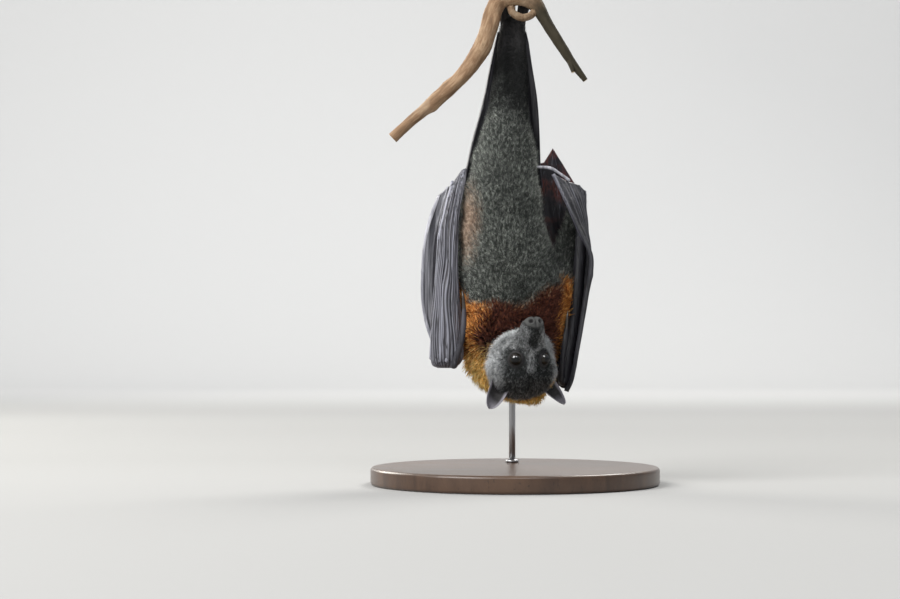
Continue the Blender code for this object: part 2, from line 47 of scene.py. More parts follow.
class Wire:
    # one output in a node tree; sums on wires add Math nodes
    def __init__(self, bench, socket):
        self.bench = bench
        self.socket = socket

    def maths(self, operation, *others):
        values = dict(enumerate((self, *others)))
        return self.bench.add("ShaderNodeMath", {"operation": operation}, values)

    def __add__(self, other):
        return self.maths("ADD", other)

    def __sub__(self, other):
        return self.maths("SUBTRACT", other)

    def __rsub__(self, other):
        return (self * -1.0) + other

    def __mul__(self, other):
        return self.maths("MULTIPLY", other)

    __radd__ = __add__
    __rmul__ = __mul__

    def between(self, low, high):
        # 0 at low, 1 at high, smooth in between
        settings = {"interpolation_type": "SMOOTHSTEP"}
        return self.bench.add("ShaderNodeMapRange", settings, {0: self, 1: low, 2: high, 3: 0.0, 4: 1.0})


class Bench:
    # puts nodes into one tree
    def __init__(self, tree):
        self.tree = tree
        tree.nodes.clear()

    def add(self, kind, settings=None, values=None, out=0):
        node = self.tree.nodes.new(kind)
        for key, value in (settings or {}).items():
            if key == "stops":
                self.setStops(node.color_ramp, value)
            else:
                setattr(node, key, value)
        for key, value in (values or {}).items():
            socket = node.inputs[key]
            if isinstance(value, Wire):
                self.tree.links.new(value.socket, socket)
            else:
                socket.default_value = value
        return Wire(self, node.outputs[out]) if len(node.outputs) else None

    def setStops(self, ramp, stops):
        while len(ramp.elements) < len(stops):
            ramp.elements.new(0.5)
        for element, (place, colour) in zip(ramp.elements, stops):
            element.position = place
            element.color = (*colour, 1.0)


class Paint(Bench):
    # one material
    def __init__(self, name):
        self.material = bpy.data.materials.new(name)
        self.material.use_nodes = True
        super().__init__(self.material.node_tree)

    def mark(self, name):
        return self.add("ShaderNodeAttribute", {"attribute_name": name}, out="Fac")

    def place(self, stretch=(1.0, 1.0, 1.0)):
        coordinates = self.add("ShaderNodeTexCoord", out="Object")
        return self.add("ShaderNodeMapping", None, {"Vector": coordinates, "Scale": stretch})

    def noise(self, scale, detail=3.0, rough=0.55, where=None, twist=0.0):
        values = {"Vector": where or self.place(), "Scale": scale, "Detail": detail, "Roughness": rough,
                  "Distortion": twist}
        return self.add("ShaderNodeTexNoise", None, values)

    def blend(self, factor, first, second):
        first, second = [value if isinstance(value, Wire) else (*value, 1.0) for value in (first, second)]
        return self.add("ShaderNodeMix", {"data_type": "RGBA"}, {0: factor, 6: first, 7: second}, out=2)

    def ramp(self, factor, *stops):
        return self.add("ShaderNodeValToRGB", {"stops": stops}, {0: factor})

    def bump(self, height, distance, strength=1.0):
        values = {"Height": height, "Distance": distance, "Strength": strength}
        return self.add("ShaderNodeBump", None, values)

    def finish(self, colour, rough, bump=None, others=()):
        # bump is height, distance and strength; the others are more sockets of the shader
        values = {"Base Color": colour, "Roughness": rough, **dict(others)}
        if bump:
            values["Normal"] = self.bump(*bump)
        shader = self.add("ShaderNodeBsdfPrincipled", None, values)
        self.add("ShaderNodeOutputMaterial", None, {"Surface": shader})
        return self.material


def throughPoints(points, count):
    # a smooth curve through rows of numbers
    rows = np.asarray(points, float)
    ends = np.vstack([2 * rows[0] - rows[1], rows, 2 * rows[-1] - rows[-2]])
    place = np.linspace(0, len(rows) - 1, count)
    i = np.minimum(place.astype(int), len(rows) - 2)
    t = (place - i)[:, None]
    a, b, c, d = ends[i], ends[i + 1], ends[i + 2], ends[i + 3]
    square = 2 * a - 5 * b + 4 * c - d
    cube = 3 * b - a - 3 * c + d
    return 0.5 * (2 * b + (c - a) * t + square * t ** 2 + cube * t ** 3)


def around(count):
    # angles all round a ring
    return np.linspace(0, 2 * math.pi, count, endpoint=False)


def unit(vectors):
    return vectors / np.maximum(np.linalg.norm(vectors, axis=-1, keepdims=True), 1e-9)


def span(vectors):
    return np.linalg.norm(vectors, axis=1)


def step(low, high, value):
    t = np.clip((value - low) / (high - low), 0, 1)
    return t * t * (3 - 2 * t)


def hill(value, middle, width):
    return np.exp(-((value - middle) / width) ** 2)


def ripples(points, size, seed, layers=7):
    # soft random waves of about that size, from -1 to 1
    dice = np.random.default_rng(seed)
    total = np.zeros(points.shape[:-1])
    for layer in range(layers):
        aim = unit(dice.normal(size=3)) * (2 * math.pi / size * dice.uniform(0.6, 1.7))
        total += np.sin(points @ aim + dice.uniform(0, 6.28))
    return total / math.sqrt(layers) * 0.8


def gridFaces(rows, columns, wrap):
    i = np.arange(rows - 1)[:, None]
    j = np.arange(columns if wrap else columns - 1)[None, :]
    k = (j + 1) % columns
    low, high = i * columns, (i + 1) * columns
    return np.stack([low + j, low + k, high + k, high + j], axis=-1).reshape(-1, 4).tolist()


class Pile:
    # shapes gathered into one mesh, with a few marks at each point
    def __init__(self):
        self.points = []
        self.faces = []
        self.marks = []
        self.size = 0

    def add(self, points, faces, **marks):
        points = np.asarray(points, float).reshape(-1, 3)
        self.points.append(points)
        self.faces += [[k + self.size for k in face] for face in faces]
        self.marks.append((len(points), marks))
        self.size += len(points)

    def loft(self, grid, **marks):
        # a closed body through rings, with a fan at each end
        rows, columns = grid.shape[:2]
        middles = [grid[0].mean(0), grid[-1].mean(0)]
        last = (rows - 1) * columns
        fans = [[rows * columns, (j + 1) % columns, j] for j in range(columns)]
        fans += [[rows * columns + 1, last + j, last + (j + 1) % columns] for j in range(columns)]
        full = {}
        for name, value in marks.items():
            value = np.asarray(value, float)
            if value.ndim:
                value = np.concatenate([value.ravel(), [value.ravel()[0], value.ravel()[-1]]])
            full[name] = value
        self.add(np.vstack([grid.reshape(-1, 3), middles]), gridFaces(rows, columns, True) + fans, **full)

    def tube(self, path, count, sides, flat=1.0, **marks):
        # a round-ended tube through rows of x, y, z and radius
        self.loft(tubeGrid(throughPoints(path, count), sides, flat), **marks)

    def sheet(self, centre, half, **marks):
        # a thin closed wall about a grid of points
        rows, columns = centre.shape[:2]
        normal = unit(np.cross(np.gradient(centre, axis=0), np.gradient(centre, axis=1)))
        shift = normal * half[..., None]
        count = rows * columns
        front = gridFaces(rows, columns, False)
        back = [[k + count for k in face[::-1]] for face in front]
        rim = [i * columns for i in range(rows)]
        rim += [(rows - 1) * columns + j for j in range(1, columns)]
        rim += [i * columns + columns - 1 for i in range(rows - 2, -1, -1)]
        rim += [j for j in range(columns - 2, 0, -1)]
        edge = [[a, b, b + count, a + count] for a, b in zip(rim, rim[1:] + rim[:1])]
        full = {}
        facing = step(0.2, -0.2, normal[..., 1])
        for name, value in marks.items():
            value = np.asarray(value, float)
            # the side that looks backwards keeps only a quarter of the thin skin's painted backlight glow
            fade = 0.75 if name == "thin" else 0.0
            full[name] = value if not value.ndim else np.concatenate([
                (value * (1 - fade * (1 - facing))).ravel(), (value * (1 - fade * facing)).ravel()])
        points = np.vstack([(centre + shift).reshape(-1, 3), (centre - shift).reshape(-1, 3)])
        self.add(points, front + back + edge, **full)

    def build(self, name):
        mesh = bpy.data.meshes.new(name)
        mesh.from_pydata((np.vstack(self.points) * mm).tolist(), [], self.faces)
        faceOut(mesh)
        for markName in sorted({key for count, marks in self.marks for key in marks}):
            values = [np.broadcast_to(np.asarray(marks.get(markName, 0.0), float), (count,))
                      for count, marks in self.marks]
            setMark(mesh, markName, np.concatenate(values))
        mesh.shade_smooth()
        return placed(name, mesh)


def placed(name, data):
    made = bpy.data.objects.new(name, data)
    bpy.context.scene.collection.objects.link(made)
    return made


def faceOut(mesh):
    work = bmesh.new()
    work.from_mesh(mesh)
    bmesh.ops.recalc_face_normals(work, faces=work.faces)
    work.to_mesh(mesh)
    work.free()


def setMark(mesh, name, values, kind="FLOAT", domain="POINT"):
    mark = mesh.attributes.new(name, kind, domain)
    mark.data.foreach_set("value" if kind == "FLOAT" else "vector", np.asarray(values, np.float32).ravel())


def tubeGrid(path, sides, flat=1.0, side=(1, 0, 0), rounds=(True, True)):
    # rings round a path of x, y, z and radius
    path = np.asarray(path, float)
    for end, rounded in ((0, rounds[0]), (-1, rounds[1])):
        if rounded:
            inner = path[1] if end == 0 else path[-2]
            out = unit(path[end, :3] - inner[:3])
            radius = path[end, 3]
            cap = []
            for turn in np.radians([28, 52, 72, 86]):
                cap.append([*(path[end, :3] + out * radius * math.sin(turn)), radius * math.cos(turn)])
            path = np.vstack([cap[::-1], path]) if end == 0 else np.vstack([path, cap])
    along = unit(np.gradient(path[:, :3], axis=0))
    side = np.asarray(side, float)
    across = unit(side - along * (along @ side)[:, None])
    up = np.cross(along, across)
    angle = around(sides)
    spin = across[:, None] * np.cos(angle)[None, :, None] + up[:, None] * np.sin(angle)[None, :, None] * flat
    return path[:, None, :3] + spin * path[:, None, 3:4]


def wallGrid(columns, rows, between):
    # a curtain: each column is a smooth path down it, and the wall runs straight from one to the next
    paths = []
    for column in columns:
        fine = throughPoints(column, 80)
        length = np.concatenate([[0], np.cumsum(span(np.diff(fine, axis=0)))])
        wanted = np.linspace(0, length[-1], rows)
        paths.append(np.stack([np.interp(wanted, length, fine[:, k]) for k in range(3)], axis=1))
    paths = np.array(paths)
    place = np.linspace(0, len(paths) - 1, (len(paths) - 1) * between + 1)
    low = np.minimum(place.astype(int), len(paths) - 2)
    part = (place - low)[:, None, None]
    grid = np.swapaxes(paths[low] * (1 - part) + paths[low + 1] * part, 0, 1)
    return grid, place


def ovalGrid(centres, side, up, halfSide, halfUp, halfDown, count):
    angle = around(count)
    lift = np.where(np.sin(angle)[None, :] > 0, halfUp[:, None], halfDown[:, None]) * np.sin(angle)[None, :]
    reach = halfSide[:, None] * np.cos(angle)[None, :]
    return centres[:, None, :] + np.asarray(side) * reach[..., None] + np.asarray(up) * lift[..., None]


def finishPiece(piece, slotName, paint, *nodes):
    piece.data.materials.clear()
    piece.data.materials.append(paint)
    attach(piece, "root")
    if nodes:
        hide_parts(*nodes)
    print(piece.name + ":", len(piece.data.polygons), "faces")


# The body. Each station says how far the coat stands over the skin there.
body = {
    # z, centre x, centre y, half width, half depth, coat
    "trunk": [(353, -3.5, 12, 6, 6, 2.2), (349, -4, 12, 12, 11, 2.6), (341, -5.5, 12, 17.5, 15.5, 3.2),
              (326, -7.2, 11, 21.6, 20, 4.2), (301, -8.2, 9, 26.2, 24.5, 5.5),
              (278, -10.5, 7, 31, 28.5, 6.3), (256, -11.2, 6, 35.3, 32, 7), (232, -10.5, 6, 38.5, 34, 7),
              (205, -7.2, 6, 43.3, 36, 7), (178, -3.6, 7, 47.4, 36, 8), (152, -3, 9, 47, 33.5, 10),
              (130, -3.5, 9, 44.5, 31, 11), (109, -2, 8, 42, 29, 11), (93, 1, 5, 35, 25, 10),
              (82, 4, 2, 25, 19, 8), (76, 6, 0, 14, 12, 6), (74, 7, 0, 6, 6, 5)],
    # x, y, z, radius, coat
    "legs": [[(-14.5, 9, 312, 12.5, 3.4), (-13.6, 10, 344, 10.5, 2.4), (-11.2, 11, 376, 8.0, 1.5),
              (-10.2, 12, 396, 7.1, 1.1), (-7.6, 12.5, 414, 5.6, 0.3)],
             [(0.5, 9, 312, 12, 3.4), (3.6, 10, 344, 10.4, 2.4), (4.2, 11, 376, 8.0, 1.5),
              (4.1, 12, 396, 7.1, 1.1), (4.0, 12.5, 414, 5.6, 0.3)]],
    "between": -3.4,
    "web": [[(-13, 9, 330), (-10, 8.5, 370), (-8.5, 9.5, 419)],
            [(-4, 8.5, 330), (-3.5, 8.5, 370), (-1.5, 10, 425)],
            [(3, 9, 330), (4, 8.5, 370), (5.5, 9.5, 419)]],
    "arms": [[(-34, 14, 160, 12, 4), (-44, 22, 215, 9, 3), (-49, 27, 262, 7, 2)],
             [(34, 16, 160, 12, 4), (48, 26, 215, 9, 3), (57, 27, 252, 6.5, 2)]],
    "voxel": 0.62,
    "rounds": 7,
    "plainFaces": 70000,
}

# The head, along its own axis from the back of the skull to the nose.
head = {
    "origin": (1.9, -11.0, 81.5),
    "tilt": 33.0,
    "yaw": 18.5,
    # along, half width, height over the axis, depth under it, coat
    "stations": [(-1, 6, 3, 5, 1.5), (1.5, 15, 7, 12, 2.5), (6, 24, 12.5, 20, 3.2),
                 (14, 30, 19.5, 25.5, 3.5), (24, 32.5, 23.5, 27, 3.5), (34, 29.5, 23.5, 25, 3),
                 (42, 23.5, 20.5, 21.5, 2.3), (50, 18, 16.5, 17, 1.8), (60, 14.6, 12, 12.4, 1.5),
                 (71, 11.4, 9.8, 10, 1.0), (78, 9.2, 8.2, 8.4, 0.55), (82, 5.2, 4.4, 4.4, 0.4)],
    # the full fur of both cheeks and the throat: an egg along, aside and up
    "jowl": (36.5, 0.0, -12.0),
    "jowlRadii": (26.5, 29.8, 12.0),
    "jowlCoat": 4.2,
    "eyeRadius": 6.3,
    "eyePlace": (44.5, 12.7, 8.8),
    "gaze": (0.42, 0.48, 0.77),
    "opening": 65.0,
    "nostril": (80.8, 4.3, 3.4),
    "nostrilWay": (0.72, 0.62, 0.42),
    "earRoot": (15.0, 22.5, 8.5),
    "earLength": 28.0,
    "earWidth": 18.5,
    "earBuried": 0.19,
    "earSpread": {-1: 0.42, 1: 0.70},
    "earFace": {-1: 0.2, 1: 0.55},
    "earBlunt": {-1: 4.0, 1: 1.8},
}


def headAxes():
    turn, tilt = math.radians(head["yaw"]), math.radians(head["tilt"])
    spin = np.array([[math.cos(turn), -math.sin(turn), 0], [math.sin(turn), math.cos(turn), 0], [0, 0, 1]])
    nose = spin @ np.array([0, -math.sin(tilt), math.cos(tilt)])
    top = spin @ np.array([0, -math.cos(tilt), -math.sin(tilt)])
    return nose, spin @ np.array([1.0, 0, 0]), top


noseWay, sideWay, topWay = headAxes()
headTurn = np.stack([noseWay, sideWay, topWay])


def fromHead(along, side, up):
    return np.asarray(head["origin"]) + noseWay * along + sideWay * side + topWay * up


def intoHead(points):
    return (points - np.asarray(head["origin"])) @ headTurn.T


def headFill(local):
    # 1 at the head's outline, less inside it
    rows = throughPoints(head["stations"], 120)
    wide = np.interp(local[:, 0], rows[:, 0], rows[:, 1])
    high = np.interp(local[:, 0], rows[:, 0], rows[:, 2])
    deep = np.interp(local[:, 0], rows[:, 0], rows[:, 3])
    lift = np.where(local[:, 2] > 0, high, deep)
    fill = np.sqrt((local[:, 1] / wide) ** 2 + (local[:, 2] / lift) ** 2)
    first, last = head["stations"][0][0], head["stations"][-1][0]
    past = np.maximum(local[:, 0] - last, 0) + np.maximum(first - local[:, 0], 0)
    return np.minimum(fill + past * 0.2, jowlFill(local))


def jowlFill(local):
    return span((local - head["jowl"]) / head["jowlRadii"])


def sunk(grid, depth):
    # a closed loft pushed in along its own normals
    across = np.roll(grid, -1, axis=1) - np.roll(grid, 1, axis=1)
    normal = unit(np.cross(across, np.gradient(grid, axis=0)))
    away = grid - grid.mean(axis=1, keepdims=True)
    flip = np.where((normal * away).sum(axis=(1, 2)) < 0, -1.0, 1.0)
    return grid - normal * flip[:, None, None] * depth[:, None, None]


def roughBody():
    pile = Pile()
    rows = throughPoints(body["trunk"], 230)
    centres = np.stack([rows[:, 1], rows[:, 2], rows[:, 0]], axis=1)
    grid = ovalGrid(centres, (1, 0, 0), (0, 1, 0), rows[:, 3], rows[:, 4], rows[:, 4], 150)
    pile.loft(sunk(grid, rows[:, 5]))
    rows = throughPoints(head["stations"], 150)
    centres = np.array([fromHead(s, 0, 0) for s in rows[:, 0]])
    grid = ovalGrid(centres, sideWay, topWay, rows[:, 1], rows[:, 2], rows[:, 3], 150)
    pile.loft(sunk(grid, rows[:, 4]))
    turn = np.linspace(-1.5, 1.5, 60)
    along, aside, above = np.array(head["jowlRadii"]) - head["jowlCoat"]
    centres = np.array([fromHead(head["jowl"][0] + along * math.sin(t), 0, head["jowl"][2]) for t in turn])
    above = above * np.cos(turn)
    pile.loft(ovalGrid(centres, sideWay, topWay, aside * np.cos(turn), above, above, 120))
    for limb in body["legs"] + body["arms"]:
        rows = throughPoints(limb, 90)
        rows[:, 3] -= rows[:, 4]
        pile.loft(tubeGrid(rows[:, :4], 40))
    grid = wallGrid(body["web"], 40, 12)[0]
    pile.sheet(grid, np.full(grid.shape[:2], 1.2))
    return pile.build("roughBody")


def evaluated(item):
    return bpy.data.meshes.new_from_object(item.evaluated_get(bpy.context.evaluated_depsgraph_get()))


def replaceMesh(item, mesh):
    item.modifiers.clear()
    old = item.data
    item.data = mesh
    bpy.data.meshes.remove(old)


def gathered(items, key, width=1, kind=np.float32):
    values = np.zeros(len(items) * width, kind)
    items.foreach_get(key, values)
    return values.reshape(-1, width) if width > 1 else values


def pointsOf(mesh):
    return gathered(mesh.vertices, "co", 3).astype(float) / mm


def normalsOf(mesh):
    return gathered(mesh.vertex_normals, "vector", 3).astype(float)


def setPoints(mesh, points):
    mesh.vertices.foreach_set("co", (points * mm).astype(np.float32).ravel())
    mesh.update()


def relaxed(points, edges, rounds, amount):
    count = np.bincount(edges.ravel(), minlength=len(points))[:, None]
    for turn in range(rounds):
        total = np.zeros_like(points)
        for k in range(3):
            total[:, k] = np.bincount(edges[:, 0], points[edges[:, 1], k], len(points))
            total[:, k] += np.bincount(edges[:, 1], points[edges[:, 0], k], len(points))
        points = points + (total / count - points) * amount
    return points


def nostrilFrame(sign):
    mirror = np.array([1, sign, 1])
    return np.array(head["nostril"]) * mirror, unit(np.array(head["nostrilWay"]) * mirror)


def eyeFrame(sign):
    along, aside, above = head["eyePlace"]
    gaze = unit(np.array(head["gaze"]) * (1, sign, 1))
    return np.array([along, aside * sign, above]), gaze


def sculptFace(local):
    # lids, nostrils, lips and brows, in the head's own frame
    local = local.copy()
    radius = head["eyeRadius"]
    s, x, u = local.T.copy()
    push = np.zeros(len(local))
    push -= 1.0 * hill(x, 0, 5.0) * hill(s, 54, 9) * step(2, 8, u)          # bridge of the nose
    push += 0.9 * hill(np.abs(x), 12, 5) * hill(s, 36, 5) * step(4, 12, u)  # brow behind each eye
    push += 0.7 * hill(np.abs(x), 9, 3.5) * hill(s, 62, 8) * hill(u, 1.5, 4)  # whisker pad
    middle = np.stack([np.zeros_like(s), x, u], axis=1)
    local += unit(middle) * push[:, None]
    lipLine = -3.2 - 1.6 * hill(s, 58, 9)
    mouth = step(47, 53, s) * step(83, 79.5, s)
    for size, above, width in ((-0.95, 0, 0.75), (0.45, 2.0, 1.3), (0.3, -1.9, 1.2)):
        local += unit(middle) * (size * mouth * hill(u, lipLine + above, width))[:, None]
    local[:, 0] -= 2.6 * step(72, 80, s) * step(-2.5, -6, u)   # chin
    for sign in (-1, 1):
        lobe = np.array([79.0, 3.6 * sign, 2.0])
        away = local - lobe
        gap = span(away)
        local += unit(away) * (0.75 * hill(gap, 2.4, 2.2))[:, None] * step(74, 77, s)[:, None]
    s, x, u = local.T.copy()
    local[:, 0] -= 1.0 * hill(x, 0, 0.9) * step(76, 80, s) * step(-5, -1, u)
    for sign in (-1, 1):
        hole, out = nostrilFrame(sign)
        gap = span(local - hole)
        local += out * (0.55 * hill(gap, 2.9, 0.8) - 4.0 * hill(gap, 0, 1.65))[:, None]
    for sign in (-1, 1):
        centre, gaze = eyeFrame(sign)
        away = local - centre
        gap = span(away)
        turn = np.degrees(np.arccos(np.clip(unit(away) @ gaze, -1, 1)))
        opening = head["opening"]
        shape = np.interp(turn, [0, opening - 7, opening - 1, opening + 3, opening + 9, opening + 28],
                          [0.80, 0.82, 0.97, 1.09, 1.12, 1.10]) * radius
        blend = 1 - step(opening + 8, opening + 34, turn)
        blend = blend * (gap < radius * 2.4)
        local += unit(away) * ((shape - gap) * blend)[:, None]
        fold = 0.35 * hill(turn, opening + 17, 2.6) * (gap < radius * 2)
        local -= unit(away) * fold[:, None]
    return local


def buildBodySkin():
    rough = roughBody()
    remesh = rough.modifiers.new("fuse", "REMESH")
    remesh.mode = "VOXEL"
    remesh.voxel_size = body["voxel"] * mm
    replaceMesh(rough, evaluated(rough))
    mesh = rough.data
    edges = gathered(mesh.edges, "vertices", 2, np.int32)
    points = relaxed(pointsOf(mesh), edges, body["rounds"], 0.5)
    local = intoHead(points)
    near = (headFill(local) < 1.25) & (local[:, 0] > 12)
    smooth = relaxed(points, edges, body["rounds"] * 3, 0.5)
    points = np.where((local[:, 0] > 14)[:, None] & near[:, None], points, smooth)
    face = sculptFace(intoHead(points[near]))
    points[near] = np.asarray(head["origin"]) + face @ headTurn
    setPoints(mesh, points)
    group = rough.vertex_groups.new(name="plain")
    group.add(np.nonzero(~(near & (local[:, 0] > 26)))[0].tolist(), 1.0, "ADD")
    faceCount = 2 * len(mesh.polygons)
    kept = 2 * int(near.sum() * 0.72)
    rough.modifiers.new("triangles", "TRIANGULATE")
    thin = rough.modifiers.new("thin", "DECIMATE")
    thin.ratio = min(1.0, (body["plainFaces"] + kept) / faceCount)
    thin.vertex_group = "plain"
    replaceMesh(rough, evaluated(rough))
    rough.vertex_groups.clear()
    print("body skin:", len(rough.data.polygons), "faces")
    return rough


bodySkin = buildBodySkin()


# The coat. Lengths are in millimetres, lean is the angle that a tuft stands off the skin.
coat = {
    # each piece: tufts, width, random turn, rings of points between root and tip, slot
    "head": (48000, 0.36, 0.34, 0, "grey_head_fur"),
    "mantleFront": (16000, 0.74, 0.42, 2, "rufous_mantle_fur"),
    "mantleBack": (16000, 0.74, 0.42, 2, "rufous_mantle_fur"),
    "bellyUpper": (47000, 0.46, 0.46, 0, "grey_body_fur"),
    "bellyLower": (47000, 0.46, 0.46, 0, "grey_body_fur"),
    "backUpper": (31000, 0.62, 0.38, 1, "grey_body_fur"),
    "backLower": (31000, 0.62, 0.38, 1, "grey_body_fur"),
    "limbs": (30000, 0.42, 0.34, 0, "grey_body_fur"),
}

tuft = {
    "patch": 0.003,            # side of its square in the map
    "lengths": (0.68, 1.18),   # least and most, against the coat's own length there
    "widths": (0.6, 1.3),
    "quick": (0.25, 1.8),
    "bodyLength": 10.5,
    "mantleLength": 14.5,
    "faceLength": 5.2,
    "bodyLean": 30,
    "mantleLean": 46,
    "faceLean": 34,
}

markings = {
    "mantleEdge": 162,         # height of the ruff's upper edge in front
    "mantleBehind": 18,        # how much higher it runs behind
    "straw": (138, 100),       # it turns straw-coloured between these heights
    "flank": (-41, 232),       # the brown patch on its left side
    "limb": (296, 62),         # the legs darken from this height, over this much
    "goldenTuft": (19, 27, 9),  # behind the ears, in the head's own frame
    "waist": 232,              # where the upper and lower pieces of the coat meet
    "hips": 338,               # above this the limbs' piece grows
    "shoulder": 150,           # and above this, outside the trunk
}

# the masks that both the skin and the coat are coloured by
coatMarks = ("mantle", "deep", "straw", "brown", "limb", "face", "frost", "golden")


def regions(points, normals):
    # soft masks over the skin, all from where a point lies on the body
    local = intoHead(points)
    x, y, z = points.T
    s, across, up = local.T
    drift = ripples(points, 26, 3)
    fine = ripples(points, 9, 4)
    limit = 1.05 + 0.30 * step(22, 36, s) * step(-4, 2, up) + 0.8 * step(58, 74, s)
    limit = limit + 0.20 * step(26, 12, s) * step(0, 8, up)
    face = step(limit + 0.08, limit, headFill(local)) * step(-5, -1, s)
    front = step(14, -6, y)
    edge = markings["mantleEdge"] + 4 * drift + 2.5 * fine
    edge = edge - 5 * hill(x, -8, 16) * front + 12 * step(10, 34, x) * front
    edge = edge + markings["mantleBehind"] * (1 - front)
    mantle = step(edge + 7, edge - 7, z) * (1 - face)
    # deep: painted shade on the ruff, darker and redder across the chest front towards +x and close under
    # the head
    shadowNearHead = step(1.75, 1.25, headFill(local)) * step(84, 112, z)
    deep = mantle * front * np.maximum(step(-40, -17, x + 3 * drift) * step(84, 104, z), 0.9 * shadowNearHead)
    # straw: the pale fringe low on the ruff, partly its own pale colour and partly a painted backlight glow
    # on the tufts facing down and towards -x
    straw = mantle * step(*markings["straw"], z + 4 * drift)
    straw = straw * step(0.45, -0.25, normals[:, 2] + 0.30 * normals[:, 0])
    flankX, flankZ = markings["flank"]
    brown = hill(x, flankX, 11.5) * hill(z, flankZ, 36) * front * (1 - mantle)
    limbStart, limbSpan = markings["limb"]
    limb = step(0, limbSpan, z - limbStart - 22 * step(2, -12, x) + 6 * drift + 3 * fine)
    centres = [eyeFrame(sign)[0] for sign in (-1, 1)]
    toEye = np.min([span(local - centre) for centre in centres], axis=0)
    lid = face * step(head["eyeRadius"] + 2.4, head["eyeRadius"] + 0.9, toEye)
    noseTip = face * step(74.5, 78.5, s)
    # the groove down the middle and the nostril pits are left out of the paler pad, so they keep the darker
    # leather: painted shade in these hollows
    pad = noseTip * (1 - 0.6 * hill(across, 0, 1.0))
    for sign in (-1, 1):
        hole, out = nostrilFrame(sign)
        depth = (local - hole) @ out
        offAxis = span(local - hole - depth[:, None] * out)
        pad = pad * (1 - step(2.2, 1.4, offAxis) * step(0.9, 0.0, depth))
    cheek = face * step(1.2, 0.94, jowlFill(local))
    aside = np.abs(across)
    brow = hill(across, -1.0, 5.0) * step(36, 42, s) * step(62, 54, s) * step(2, 8, up)
    flank = step(17, 25, aside) * step(54, 44, s)
    # the middle of the bridge is left out of the frost: a dark line of painted shade along its dip
    muzzle = step(2.5, 6.5, aside + 1.5 * fine) * step(46, 56, s) * step(79, 74, s)
    frost = face * (0.75 * brow + 0.80 * flank + 0.66 * muzzle) + cheek * step(6, 13, aside)
    frost = frost * (0.35 + 0.65 * step(head["eyeRadius"] + 0.5, head["eyeRadius"] + 3.5, toEye))
    frost = frost + 0.30 * face * step(-0.1, 0.9, fine) * step(26, 12, s)
    golden = face * hill(span((local - markings["goldenTuft"]) / (6, 5, 9)), 0, 1)
    return {"face": face, "mantle": mantle, "deep": deep, "straw": straw, "brown": brown,
            "limb": limb, "lid": lid, "noseTip": noseTip, "frost": np.clip(frost, 0, 1), "cheek": cheek,
            "toEye": toEye, "local": local, "golden": golden, "pad": pad}


def combing(points, normals, area):
    # which way the tufts lie, how long they are and how thickly they grow
    x, y, z = points.T
    local = area["local"]
    s = local[:, 0]
    face, mantle = area["face"], area["mantle"]
    swirl = np.stack([ripples(points, 30, k) for k in (11, 12, 13)], axis=1)
    tailWay = np.array([0, 0, 1.0]) + 0.35 * swirl
    tailWay = tailWay + np.stack([x * 0.006, y * 0, z * 0], axis=1)
    droop = step(158, 104, z)[:, None]
    outWay = np.stack([x + 2, y - 4, z * 0], axis=1) / 60
    ruffWay = tailWay * (1 - 1.75 * droop) + outWay * 1.4 * droop + 0.45 * swirl
    centres = [eyeFrame(sign)[0] for sign in (-1, 1)]
    aroundEye = np.zeros_like(local)
    for centre in centres:
        away = local - centre
        gap = span(away)
        aroundEye += unit(away) * hill(gap, 6, 6)[:, None]
    backWay = np.array([-1.0, 0, 0]) + 1.1 * aroundEye + 0.25 * swirl
    backWay = backWay + np.stack([s * 0, np.sign(local[:, 1]) * 0.35 * step(44, 20, s), s * 0], axis=1)
    faceWay = backWay @ headTurn
    way = tailWay * (1 - mantle)[:, None] + ruffWay * mantle[:, None]
    way = way * (1 - face)[:, None] + faceWay * face[:, None]
    way = unit(way - normals * (way * normals).sum(axis=1, keepdims=True))
    closeHead = step(1.75, 1.1, headFill(local)) * (1 - face) * step(-25, 0, s)
    lean = tuft["bodyLean"] + 4 * swirl[:, 0]
    lean = lean + (tuft["mantleLean"] - lean) * mantle
    lean = lean + 8 * mantle * droop[:, 0]
    faceLean = tuft["faceLean"] - 16 * step(46, 66, s) + 8 * step(30, 10, s) + 8 * area["cheek"]
    lean = lean * (1 - face) + face * faceLean
    lean = lean - 10 * area["limb"]
    reach = tuft["bodyLength"] + 1.2 * swirl[:, 1]
    ruffReach = tuft["mantleLength"] + 2.0 * swirl[:, 2] - 3.0 * step(145, 170, z) - 5.5 * step(98, 80, z)
    reach = reach * (1 - mantle) + mantle * ruffReach
    reach = reach * (1 - 0.45 * closeHead)
    headReach = tuft["faceLength"] - 2.0 * step(34, 50, s) - 1.3 * step(50, 66, s) - 0.8 * step(66, 76, s)
    headReach = headReach + 1.2 * step(22, 6, s)
    headReach = headReach * (0.45 + 0.55 * step(8.2, 13, area["toEye"]))
    headReach = headReach + 3.4 * area["cheek"]
    reach = reach * (1 - face) + face * headReach
    reach = reach * (1 - 0.72 * step(285, 350, z) * (1 - face))
    armSide = step(40, 52, np.abs(x + 2)) * step(150, 190, z) * (1 - mantle)
    reach = reach * (1 - 0.25 * armSide)
    thick = 1.0 - face * np.maximum(area["lid"], area["noseTip"])
    thick = thick * (1 - 0.75 * step(365, 400, z))
    thick = thick * (1 + 0.5 * face * step(40, 60, s))
    angle = np.radians(lean)[:, None]
    comb = way * np.cos(angle) + normals * np.sin(angle)
    return comb, reach, np.clip(thick, 0, 2)


atlas = {
    # where each strip lies: first u, width, first v, height; then the reach that fills it: start and length
    "trunk": (0.03, 0.56, 0.02, 0.96, 60, 300),
    "head": (0.67, 0.30, 0.50, 0.47, -8, 92),
    "legs": (0.66, 0.14, 0.02, 0.20, 345, 75),
    "arms": (0.66, 0.14, 0.25, 0.20, 150, 125),
    "sideStep": 0.17,
    "margin": 0.002,
}


